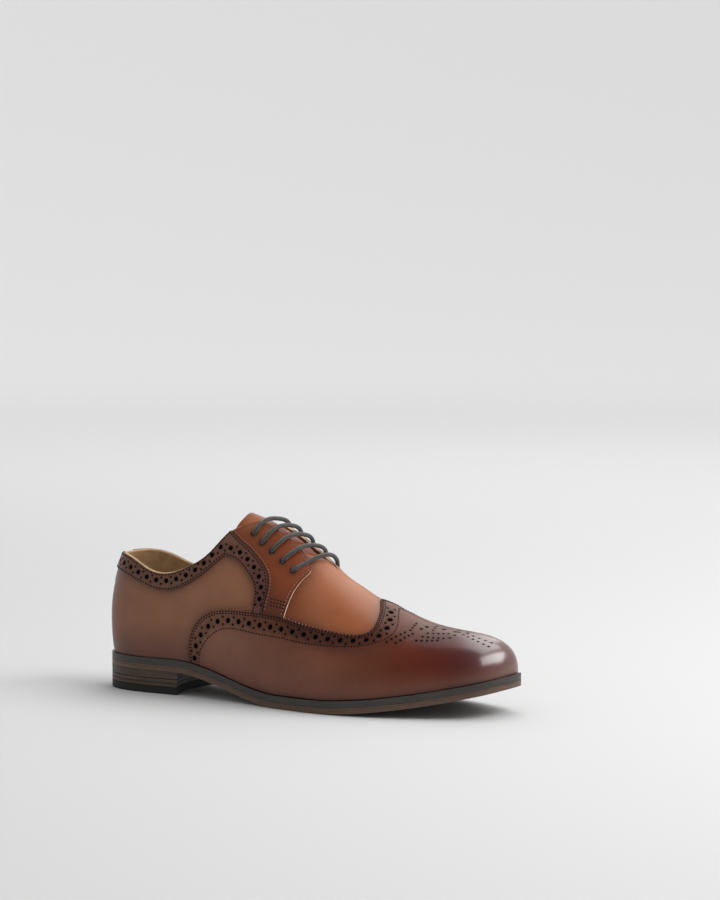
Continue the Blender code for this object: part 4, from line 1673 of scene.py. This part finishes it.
@dataclass
class Strips:
    """The punched strips along the collar and down behind each facing."""

    hole_pitch: float = 7.9 * MM
    big_radius: float = 1.7 * MM
    small_radius: float = 0.75 * MM
    small_aside: float = 2.15 * MM
    upper_inset: float = 1.0 * MM
    lower_inset: float = 1.1 * MM
    tuck: float = 0.004
    start: float = 0.0084
    free_start: float = 3.5 * MM
    free_end: float = 6.0 * MM
    dense: int = 300

    def lines(self) -> tuple[Array, Array]:
        """Returns the strip's upper or front line and its lower or rear line, dense.

        Returns:
            The two lines' places.
        """
        share = np.linspace(0, 1, self.dense)
        down = np.linspace(0, 1, self.dense)[1:]
        lines = []
        for height, tail in ((LAST.topline, FACING_REAR), (LAST.band, STRIP_REAR)):
            around = self.start + (tail[0].around - self.start) * share
            head = np.stack([around, height(around)[:, 0]], -1)
            line = np.vstack([head, LAST.drawn(tail)(down)])
            line[-1, 1] = LAST.wing(line[-1, 0])[0] - self.tuck
            lines.append(line)
        return lines[0], lines[1]

    def holes(self, upper: Array, lower: Array) -> list[Hole]:
        """Returns the large holes and the small pairs between them.

        Args:
            upper: the strip's first line.
            lower: its second line.

        Returns:
            The holes.
        """
        upper = LAST.evenly(upper, 0.5 * MM)
        lower = LAST.evenly(lower, 0.5 * MM)
        count = min(len(upper), len(lower))
        pick = np.linspace(0, 1, count)
        lines = [np.stack([np.interp(pick, np.linspace(0, 1, len(line)), line[:, k])
                           for k in (0, 1)], -1) for line in (upper, lower)]
        middle = (lines[0] + lines[1]) / 2
        even = LAST.evenly(middle, self.hole_pitch / 2, self.free_start, self.free_end)
        holes = [Hole(tuple(p), self.big_radius, BIG_SIDES) for p in even[::2]]
        for aside in (self.small_aside, -self.small_aside):
            holes += [Hole(tuple(p), self.small_radius, SMALL_SIDES)
                      for p in LAST.beside(even, aside)[1::2]]
        return holes

    def build(self, materials: Sequence, dark: Stitches) -> None:
        """Builds both strips with their stitches.

        Args:
            materials: leather, raw edge, the holes' floor of painted shadow and their wall darkened
                as painted shade.
            dark: the dark thread's rows.
        """
        upper, lower = self.lines()
        upper_even, lower_even = LAST.evenly(upper, 1.0 * MM), LAST.evenly(lower, 1.0 * MM)
        outline = np.vstack([upper_even, np.linspace(upper_even[-1], lower_even[-1], 14)[1:-1],
                             lower_even[::-1], np.linspace(lower_even[0], upper_even[0], 12)[1:-1]])
        panel = Panel(outline, self.holes(upper, lower))
        row = StitchRow()
        for name, turn, flip in SIDES:
            piece = panel.build("strip_" + name, STRIP, materials, turn, flip)
            settle(piece, "strip_leather", "trim_lateral" if name == "outer" else "trim_medial")
            dark.add(LAST.beside(upper_even, -self.upper_inset), panel.top, turn, row)
            dark.add(LAST.beside(lower_even, self.lower_inset), panel.top, turn, row)


@dataclass
class Upper:
    """Vamp and quarters with their lining, and the tab over the back seam."""

    wall: float = 1.8 * MM
    columns: int = 380
    rows: int = 60
    crowding: float = 0.45
    crease: float = 0.35 * MM
    lining_end: float = 0.225
    row_power: float = 0.85
    seam_reach: float = 3.2 * MM
    tab_half: float = 0.0075
    tab_low: float = 0.300
    tab_high: float = 0.448
    tab_step: float = 1.5 * MM
    tab_seam: float = 0.0060
    tab_seam_free: float = 0.01

    def places(self) -> Array:
        """Returns the upper's grid of places.

        Returns:
            Columns of places, from the sole up.
        """
        share = np.arange(self.columns) / self.columns
        around = share - self.crowding * np.sin(4 * np.pi * share) / (4 * np.pi)
        height = np.linspace(0, 1, self.rows)[None] ** self.row_power
        up = LAST.opening(around)[:, None] * height
        return np.stack([np.broadcast_to(around[:, None], up.shape), up], -1)

    def creases(self, places: Array) -> Array:
        """Returns how far soft wear lifts or sinks the leather.

        Args:
            places: places on the last, around and up.

        Returns:
            The lift at each place.
        """
        half = folded(places[..., 0])
        up = places[..., 1]
        lift = np.zeros_like(half)
        for row in CREASES:
            line = row.around + row.slant * (up - row.up)
            trough = np.exp(-((half - line) / row.wide) ** 2 - ((up - row.up) / row.tall) ** 2)
            lift -= row.depth * self.crease * trough
        return lift

    def seam(self, points: Array) -> Array:
        """Returns the darkening of the points near the edges of the panels laid over them: partly
        burnished seams, partly painted shade beside those edges.

        Args:
            points: points of the upper.

        Returns:
            A shade from 0 to 1 for each point.
        """
        lines = []
        wing = WingCap().edge()
        upper, lower = Strips().lines()
        rear, front = Facings().lines()
        for turn in (outer, inner):
            lines += [turn(lower), turn(upper), turn(front)]
        lines += [wing, mirrored(wing)]
        dense = np.vstack([LAST.evenly(line, 1.0 * MM) for line in lines])
        gap = gap_to(tree_of(LAST.skin(dense)), points)
        return np.exp(-gap / self.seam_reach)

    def build(self, leather: Material, lining: Material) -> None:
        """Builds the upper's outside and its lining as one piece.

        Args:
            leather: the outside.
            lining: the inside and the free edge.
        """
        grid = self.places()
        columns, rows = grid.shape[:2]
        lift = self.creases(grid)
        outside = LAST.skin(grid, lift)
        inside_points = LAST.skin(grid, lift - self.wall)
        edge = (outside[:, -1] + inside_points[:, -1]) / 2
        rise = unit(outside[:, -1] - outside[:, -2]) * 0.5 * self.wall
        rim = edge + rise
        count = columns * rows
        points = np.vstack([outside.reshape(-1, 3), inside_points.reshape(-1, 3), rim])
        over = grid_faces(columns, rows, closed=True)
        faces = over.tolist() + (over[:, ::-1] + count).tolist()
        lined = (folded(grid[:, 0, 0]) < self.lining_end).astype(int)
        slots = [0] * len(over) + lined[over[:, 0] // rows].tolist()
        for i in range(columns):
            after = (i + 1) % columns
            a, b = i * rows + rows - 1, after * rows + rows - 1
            crown_a, crown_b = 2 * count + i, 2 * count + after
            faces.append([a, b, crown_b, crown_a])
            faces.append([crown_a, crown_b, b + count, a + count])
            slots += [lined[i], lined[i]]
        piece = put("upper", points, faces, [leather, lining], slots)
        # The upper's darkening beside the overlays' edges is partly painted shade.
        store(piece, QUARTER, grid.reshape(-1, 2), self.seam(outside.reshape(-1, 3)))
        settle(piece, "quarter_leather", "upper")

    def build_tab(self, materials: Sequence, dark: Stitches) -> None:
        """Builds the narrow tab over the back seam.

        Args:
            materials: leather, raw edge, the holes' floor of painted shadow and their wall darkened
                as painted shade.
            dark: the dark thread's rows.
        """
        half, low, high = self.tab_half, self.tab_low, self.tab_high
        across = np.linspace(-half, half, 12)
        tall = np.linspace(low, high, 14)[1:-1]
        outline = np.vstack([
            np.stack([across, np.full_like(across, low)], -1),
            np.stack([np.full_like(tall, half), tall], -1),
            np.stack([across[::-1], np.full_like(across, high)], -1),
            np.stack([np.full_like(tall, -half), tall[::-1]], -1),
        ])
        panel = Panel(outline, step=self.tab_step)
        settle(panel.build("back_tab", STRIP, materials, outer, False), "strip_leather", "backstay")
        for aside in (-self.tab_seam, self.tab_seam):
            line = np.linspace((aside, low + self.tab_seam_free),
                               (aside, high - self.tab_seam_free), 20)
            dark.add(line, panel.top, outer, StitchRow())


class Crease(NamedTuple):
    """A soft trough: its centre, slant, width, height and depth."""

    around: float
    up: float
    slant: float
    wide: float
    tall: float
    depth: float


CREASES = (
    Crease(0.300, 0.800, 0.050, 0.010, 0.300, 1.2),
    Crease(0.326, 0.760, 0.060, 0.008, 0.260, 0.9),
    Crease(0.345, 0.820, 0.030, 0.006, 0.200, 0.6),
    Crease(0.060, 0.200, 0.100, 0.018, 0.080, 1.0),
    Crease(0.110, 0.160, -0.080, 0.016, 0.070, 0.9),
    Crease(0.025, 0.120, 0.000, 0.020, 0.060, 0.8),
)


@dataclass
class Tongue:
    """The tongue, under the facings from the vamp to its rounded top."""

    wall: float = 2.6 * MM
    gap: float = 0.9 * MM
    upper_wall: float = 1.8 * MM
    front: float = 0.305
    edge: float = 0.640
    coat: float = 0.04
    rim: float = 0.4
    top_shade: float = 0.3
    top_reach: float = 0.06
    columns: int = 40
    steps: int = 70

    def build(self, leather: Material, lining: Material) -> None:
        """Builds the tongue.

        Args:
            leather: its outside.
            lining: its underside.
        """
        top_line = Curve([p.up for p in TONGUE_TOP], [[p.around] for p in TONGUE_TOP])
        half = np.linspace(self.edge, 1, self.columns)
        start = top_line(half)
        share = np.linspace(0, 1, self.steps)[None]
        around = start + (self.front - start) * share
        outer_half = np.stack([around, np.broadcast_to(half[:, None], around.shape)], -1)
        places = np.concatenate([outer_half, mirrored(outer_half[-2::-1])])
        top = -self.upper_wall - self.gap
        over = LAST.skin(places, top)
        under = LAST.skin(places, top - self.wall)
        rise = unit(over[:, 0] - over[:, 1]) * self.wall * self.rim
        rim = (over[:, 0] + under[:, 0]) / 2 + rise
        columns, steps = places.shape[:2]
        count = columns * steps
        faces = grid_faces(columns, steps)[:, ::-1]
        every = faces.tolist() + (faces[:, ::-1] + count).tolist()
        slots = [0] * len(faces) + [1] * len(faces)
        for i in range(columns - 1):
            a, b = i * steps, (i + 1) * steps
            every.append([a, b, 2 * count + i + 1, 2 * count + i])
            every.append([2 * count + i, 2 * count + i + 1, b + count, a + count])
            slots += [0, 1]
        points = np.vstack([over.reshape(-1, 3), under.reshape(-1, 3), rim])
        piece = put("tongue", points, every, [leather, lining], slots)
        seam = self.top_shade * np.exp(-np.tile(share, (columns, 1)).ravel() / self.top_reach)
        store(piece, replace(FACING, coat=self.coat), places.reshape(-1, 2), seam)
        settle(piece, "facing_leather", "tongue")


@dataclass
class Lace:
    """Five straight bars that go down through the eyelets."""

    thickness: float = 3.0 * MM
    rise: float = 0.7 * MM
    end_gap: float = 0.6 * MM
    overlay: float = 1.2 * MM
    arch: float = 0.10
    bury: float = -2.6 * MM
    mouth: float = 0.9 * MM
    rim_share: float = 0.28
    dense: int = 400
    sides: int = 16
    steps: int = 56
    strand: float = 1.9 * MM

    def crossing(self, start: Array, across: Array, turn: Callable) -> Array:
        """Returns where the plane through a point, square to across, meets a throat edge.

        Args:
            start: the point.
            across: the plane's direction.
            turn: turns places into the wanted side's places.

        Returns:
            The point over the edge.
        """
        forward = np.linspace(THROAT[0].around, THROAT[-1].around, self.dense)
        places = turn(np.stack([forward, LAST.throat(forward)[:, 0]], -1))
        edge = LAST.skin(places, LAST.clearance + self.overlay + self.thickness / 2 + self.rise)
        return edge[np.argmin(np.abs((edge - start) @ across))]

    def bar(self, index: int) -> Array:
        """Returns a bar's path, from under one eyelet to under the other.

        Args:
            index: the bar's number, from the top.

        Returns:
            Points along the bar.
        """
        over = LAST.clearance + self.overlay + self.end_gap + self.thickness / 2
        holes = [turn(np.array(EYELETS[index])) for turn in (outer, inner)]
        ends = [LAST.skin(place, over) for place in holes]
        outward = LAST.normal(np.array(EYELETS[index].around), np.array(1.0))
        across = unit(np.cross(ends[1] - ends[0], outward))
        near, far = (self.crossing(ends[0], across, turn) for turn in (outer, inner))
        middle = (near + far) / 2 + np.linalg.norm(far - near) * self.arch * outward
        knots = [LAST.skin(holes[0], self.bury), LAST.skin(holes[0], self.mouth)]
        knots += [self.over_rim(ends[0], near), near, middle, far, self.over_rim(ends[1], far)]
        knots += [LAST.skin(holes[1], self.mouth), LAST.skin(holes[1], self.bury)]
        knots = np.array(knots)
        reach = run_of(knots)
        return Curve(reach / reach[-1], knots)(np.linspace(0, 1, self.steps))

    def over_rim(self, end: Array, edge: Array) -> Array:
        """Returns the point where the lace has come out of its eyelet and lies down."""
        return end * (1 - self.rim_share) + edge * self.rim_share

    def tube(self, path: Array) -> tuple[Array, Array, Array]:
        """Returns a tube's points, faces and map along a path.

        Args:
            path: points along the middle.

        Returns:
            The points, the faces and the map.
        """
        run = unit(np.gradient(path, axis=0))
        side = unit(np.cross(run[0], [0.3, 0.2, 1.0]))
        rings = []
        for point, ahead in zip(path, run):
            side = unit(side - ahead * np.dot(side, ahead))
            other = np.cross(ahead, side)
            turn = np.linspace(0, 2 * np.pi, self.sides + 1)[:, None]
            rings.append(point + self.thickness / 2 * (np.cos(turn) * side + np.sin(turn) * other))
        rows = self.sides + 1
        faces = grid_faces(len(path), rows)[:, ::-1]
        strands = run_of(path) / self.strand
        flat = np.stack(np.meshgrid(strands, np.linspace(0, 1, rows), indexing="ij"), -1)
        return np.vstack(rings), faces, flat.reshape(-1, 2)[:, ::-1]

    def build(self, cord: Material) -> None:
        """Builds the five bars as one piece with its map.

        Args:
            cord: the lace's material.
        """
        tubes = [self.tube(self.bar(index)) for index in range(len(EYELETS))]
        points, faces = gathered([tube[:2] for tube in tubes])
        maps = np.vstack([tube[2] for tube in tubes])
        piece = put("lace_bars", points, faces, [cord])
        layer = piece.data.uv_layers.new(name="cord")
        layer.data.foreach_set("uv", maps[faces.ravel()].astype(np.float32).ravel())
        settle(piece, "lace_cord", "lace")


@dataclass
class Bottom:
    """Outsole, midsole, insole and the stacked heel."""

    insole: float = 2.5 * MM
    inset: float = 2.6 * MM
    top_piece: float = 5.0 * MM
    lifts: tuple[float, ...] = (0.48, 0.27, 0.25)
    line: float = 1.0 * MM
    parting: float = 0.40 * MM
    stations: int = 150
    rows: int = 6
    heel_stations: int = 44
    heel_rows: int = 20
    breast_dip: float = 7.0 * MM
    breast_reach: float = 0.25
    breast_steps: int = 800
    line_gap: float = 0.12 * MM
    rounding: float = 0.45 * MM
    rounding_steps: int = 3
    rounding_angle: float = 50.0
    join: float = 0.02 * MM

    def outline(self, inset: float = 0.0) -> tuple[Array, Array]:
        """Returns the sole's two edges in plan, from the heel to the toe."""
        share = (1 - np.cos(np.pi * np.arange(self.stations + 1) / self.stations)) / 4
        return LAST.sole_edge(share, inset), LAST.sole_edge(1 - share, inset)

    def slab(self, name: str, edges: tuple, bottom: Callable, top: Callable, materials: Sequence,
             rows: int, slots: tuple[int, int, int] = (0, 0, 0)) -> Piece:
        """Builds a solid between two edges and two heights.

        Args:
            name: the piece's name.
            edges: its outer and inner edge in plan.
            bottom: the underside's height over x.
            top: the upper side's height over x.
            materials: its materials.
            rows: rows between the two edges.
            slots: the material of the top, the underside and the wall.

        Returns:
            The object, with rounded rims.
        """
        share = np.linspace(0, 1, rows + 1)[None, :, None]
        plan = edges[0][:, None] * (1 - share) + edges[1][:, None] * share
        columns, lines = plan.shape[:2]
        flat = plan.reshape(-1, 2)
        low = np.column_stack([flat, bottom(flat[:, 0])])
        high = np.column_stack([flat, top(flat[:, 0])])
        count = len(flat)
        over = grid_faces(columns, lines)
        faces = (over + count).tolist() + over[:, ::-1].tolist()
        number = np.arange(count).reshape(columns, lines)
        rim = np.concatenate([number[:, 0], number[-1, 1:], number[-2::-1, -1],
                              number[0, -2:0:-1]]).tolist()
        walls = [[a, b, b + count, a + count] for a, b in zip(rim, rim[1:] + rim[:1])]
        marks = [slots[0]] * len(over) + [slots[1]] * len(over) + [slots[2]] * len(walls)
        points = np.vstack([low, high]) + LAST.shift
        piece = put(name, points, faces + walls, materials, marks)
        self.finish(piece)
        return piece

    def finish(self, piece: Piece) -> None:
        """Joins doubled points and rounds the rims.

        Args:
            piece: the layer.
        """
        join = piece.modifiers.new("join", "WELD")
        join.merge_threshold = self.join
        soft = piece.modifiers.new("rounding", "BEVEL")
        soft.width = self.rounding
        soft.segments = self.rounding_steps
        soft.limit_method = "ANGLE"
        soft.angle_limit = math.radians(self.rounding_angle)
        soft.harden_normals = True

    def layer(self, name: str, low: float, thick: float, materials: Sequence,
              slots: tuple[int, int, int] = (0, 0, 0), inset: float = 0.0) -> Piece:
        """Builds one layer that follows the sole's underside at a height above it.

        Args:
            name: the piece's name.
            low: its height above the underside.
            thick: its thickness.
            materials: its materials.
            slots: the material of the top, the underside and the wall.
            inset: how far in from the feather line.

        Returns:
            The piece.
        """
        return self.slab(name, self.outline(inset), lambda x: LAST.ground(x) + low,
                         lambda x: LAST.ground(x) + low + thick, materials, self.rows, slots)

    def heel_layer(self, name: str, bottom: float, top: float, materials: Sequence) -> Piece:
        """Builds one flat layer of the heel, its breast curved back at the middle.

        Args:
            name: the piece's name.
            bottom: its lower height.
            top: its upper height.
            materials: its materials.

        Returns:
            The piece.
        """
        breast = LAST.heel_back + LAST.heel_length
        fine = np.linspace(0, self.breast_reach, self.breast_steps)
        ends = [np.interp(breast, LAST.sole_edge(side)[:, 0], fine) for side in (fine, 1 - fine)]
        share = 1 - np.cos(np.pi / 2 * np.arange(self.heel_stations + 1) / self.heel_stations)
        edges = (LAST.sole_edge(ends[0] * share), LAST.sole_edge(1 - ends[1] * share))
        piece = self.slab(name, edges, lambda x: np.full_like(x, bottom),
                          lambda x: np.full_like(x, top), materials, self.heel_rows)
        half = (edges[1][-1, 1] - edges[0][-1, 1]) / 2
        middle = (edges[1][-1, 1] + edges[0][-1, 1]) / 2
        for vertex in piece.data.vertices:
            across = (vertex.co.y - middle) / half
            reach = (vertex.co.x - LAST.shift[0] - LAST.heel_back) / LAST.heel_length
            vertex.co.x -= self.breast_dip * reach ** 2 * max(0.0, 1 - across ** 2)
        return piece

    def build(self, finishes: Finishes) -> None:
        """Builds every layer of the bottom.

        Args:
            finishes: the shoe's materials.
        """
        outsole = finishes.plain(OUTSOLE)
        stack = finishes.plain(STACK)
        thick = LAST.outsole - self.line
        settle(self.layer("outsole", 0.0, thick, [outsole]), "sole_leather", "outsole")
        line = self.layer("outsole_line", thick + self.line_gap, self.line, [outsole])
        settle(line, "sole_leather")
        low = LAST.outsole + LAST.clearance
        settle(self.layer("midsole", low, LAST.midsole, [finishes.plain(WELT)]),
               "welt_leather", "midsole")
        low += LAST.midsole + LAST.clearance
        settle(self.layer("insole", low, self.insole, [finishes.plain(SOCK)], inset=self.inset),
               "insole_leather", "insole")
        top = LAST.heel_height - self.parting / 2
        tall = LAST.heel_height - self.top_piece
        for number, share in enumerate(self.lifts, start=1):
            bottom = top - share * tall
            piece = self.heel_layer(f"heel_lift_{number}", bottom + self.parting, top, [stack])
            settle(piece, "sole_leather", f"heel_lift_{number}")
            top = bottom
        piece = self.heel_layer("heel_top_piece", 0.0, top, [finishes.plain(RUBBER)])
        settle(piece, "heel_rubber", "heel_top_piece")


class Lamp(NamedTuple):
    """A soft rectangular light: place, width and height, watts, aim and roll in degrees."""

    name: str
    place: Triple
    size: tuple[float, float]
    power: float
    aim: Triple
    roll: float = 0.0


@dataclass
class Studio:
    """The pale floor with its raised rim, the soft lights and the camera."""

    flat_radius: float = 3.2
    bend_radius: float = 1.6
    bend_end: float = 75.0
    front_light: float = 0.46
    back_light: float = 0.72
    paper_tone: float = 0.48
    far_glow: float = 0.40
    azimuth: float = 29.557
    elevation: float = 8.297
    yaw: float = -0.984
    pitch: float = 4.699
    distance: float = 2.180167
    lens: float = 129.8
    target: Triple = (0.11566, 0.0, 0.030)
    floor_centre: float = 0.1
    floor_sides: int = 96
    floor_bends: int = 20
    sky_low: float = -0.9
    sky_high: float = 0.7
    sky_lift: float = 0.6
    glow_start: float = 0.4
    glow_end: float = 3.6
    lamps: tuple[Lamp, ...] = (
        Lamp("key", (1.22, 0.32, 1.10), (1.50, 0.80), 23.0, (0.24, 0.0, 0.04), -38.0),
        Lamp("back", (0.15, 1.05, 2.1), (1.7, 1.6), 27.0, (0.12, 0.0, 0.05)),
        Lamp("rim", (-0.65, 1.75, 1.35), (1.5, 0.8), 8.0, (0.15, 0.0, 0.06)),
    )

    def floor(self, material: Material) -> None:
        """Builds the floor as a wide bowl, so that no horizon shows.

        Args:
            material: the paper.
        """
        profile = [(0.0, 0.0), (self.flat_radius, 0.0)]
        for angle in np.linspace(0, math.radians(self.bend_end), self.floor_bends)[1:]:
            profile.append((self.flat_radius + self.bend_radius * math.sin(angle),
                            self.bend_radius * (1 - math.cos(angle))))
        turn = np.linspace(0, 2 * np.pi, self.floor_sides + 1)[:-1]
        rows = [[(r * math.cos(a) + self.floor_centre, r * math.sin(a), z) for r, z in profile]
                for a in turn]
        faces = grid_faces(len(turn), len(profile), closed=True)[:, ::-1]
        piece = put("studio_floor", np.array(rows).reshape(-1, 3), faces, [material])

    def light(self, lamp: Lamp) -> None:
        """Adds a soft rectangular light.

        Args:
            lamp: the light.
        """
        area = bpy.data.lights.new(lamp.name, "AREA")
        area.shape = "RECTANGLE"
        area.size, area.size_y = lamp.size
        area.energy = lamp.power
        made = bpy.data.objects.new(lamp.name, area)
        made.location = lamp.place
        facing = (Vector(lamp.aim) - Vector(lamp.place)).to_track_quat("-Z", "Y")
        turn = Quaternion((0.0, 0.0, 1.0), math.radians(lamp.roll))
        made.rotation_euler = (facing @ turn).to_euler()
        bpy.context.scene.collection.objects.link(made)

    def camera(self) -> None:
        """Adds the camera at the photo's angle."""
        az, el = math.radians(self.azimuth), math.radians(self.elevation)
        place = Vector(self.target) + self.distance * Vector(
            (math.sin(az) * math.cos(el), -math.cos(az) * math.cos(el), math.sin(el)))
        turn, tilt = math.radians(self.azimuth + self.yaw), math.radians(self.pitch)
        back = Vector((math.sin(turn) * math.cos(tilt), -math.cos(turn) * math.cos(tilt),
                       math.sin(tilt)))
        made = bpy.data.objects.new("camera", bpy.data.cameras.new("camera"))
        made.data.lens = self.lens
        made.data.sensor_fit = "AUTO"
        made.data.sensor_width = 36.0
        made.data.clip_start = 0.05
        made.location = place
        made.rotation_euler = back.to_track_quat("Z", "Y").to_euler()
        bpy.context.scene.collection.objects.link(made)
        bpy.context.scene.camera = made

    def sky(self) -> None:
        """Sets the soft light from all around, brightest behind the shoe and above."""
        world = bpy.data.worlds.new("studio")
        world.use_nodes = True
        graph = Graph(world.node_tree)
        light = world.node_tree.nodes["Background"]
        graph.fill(light, Color=(1.0, 1.0, 1.0, 1.0))
        place = graph.add("ShaderNodeTexCoord")
        split = graph.add("ShaderNodeSeparateXYZ")
        spread = graph.add("ShaderNodeMapRange", interpolation_type="SMOOTHSTEP",
                           From_Min=self.sky_low, From_Max=self.sky_high,
                           To_Min=self.front_light, To_Max=self.back_light)
        lifted = graph.math("MULTIPLY", split.outputs["Z"], self.sky_lift)
        graph.join((place.outputs["Generated"], split.inputs[0]),
                   (graph.math("ADD", split.outputs["Y"], lifted), spread.inputs["Value"]),
                   (spread.outputs[0], light.inputs["Strength"]))
        bpy.context.scene.world = world

    def paper(self) -> Material:
        """Returns the floor's pale paper, kept bright far from the shoe.

        Returns:
            The material.
        """
        made = bpy.data.materials.new("studio_paper")
        made.use_nodes = True
        graph = Graph(made.node_tree)
        shader = made.node_tree.nodes["Principled BSDF"]
        graph.fill(shader, Base_Color=(*[self.paper_tone] * 3, 1.0), Roughness=0.95,
                   Specular_IOR_Level=0.05, Emission_Strength=1.0)
        place = graph.add("ShaderNodeTexCoord")
        reach = graph.add("ShaderNodeVectorMath", operation="LENGTH")
        spread = graph.add("ShaderNodeMapRange", interpolation_type="SMOOTHSTEP",
                           From_Min=self.glow_start, From_Max=self.glow_end, To_Max=self.far_glow)
        graph.join((place.outputs["Object"], reach.inputs[0]),
                   (reach.outputs["Value"], spread.inputs["Value"]),
                   (spread.outputs[0], shader.inputs["Emission Color"]))
        return made

    def build(self) -> None:
        """Builds the whole studio."""
        self.floor(self.paper())
        for lamp in self.lamps:
            self.light(lamp)
        self.sky()
        bpy.context.scene.view_settings.view_transform = "Standard"
        self.camera()


def main() -> None:
    """Builds the studio, then the shoe from the ground up."""
    logging.basicConfig(level=logging.INFO, format="%(message)s")
    finishes = Finishes(Effects())
    Studio().build()
    Bottom().build(finishes)
    lining = finishes.plain(LINING)
    # The holes' floor and wall: painted shadow and painted shade inside the holes.
    punched = [finishes.plain(HOLE_SHADOW), finishes.plain(HOLE_WALL)]
    leathers = {finish: finishes.leather(finish) for finish in (QUARTER, FACING, STRIP, CAP)}
    # Cut-edge materials; the facing's edge colour also holds a painted highlight.
    raw = {
        finish: finishes.plain(PlainFinish(
            finish.name + "_edge", finish.edge, tuple(RAW_DEEP * c for c in finish.edge),
            RAW_ROUGH))
        for finish in (FACING, STRIP, CAP)
    }
    cut = {finish: [leathers[finish], raw[finish], *punched] for finish in raw}
    pale, dark = Stitches(), Stitches()
    upper = Upper()
    upper.build(leathers[QUARTER], lining)
    upper.build_tab(cut[STRIP], dark)
    Tongue().build(leathers[FACING], lining)
    WingCap().build(cut[CAP], dark)
    Strips().build(cut[STRIP], dark)
    Facings().build(cut[FACING], pale, dark)
    Lace().build(finishes.plain(CORD))
    settle(pale.build("stitches_pale", finishes.plain(THREAD_PALE)), "strip_leather")
    settle(dark.build("stitches_dark", finishes.plain(THREAD_DARK)), "strip_leather")


if __name__ == "__main__":
    main()
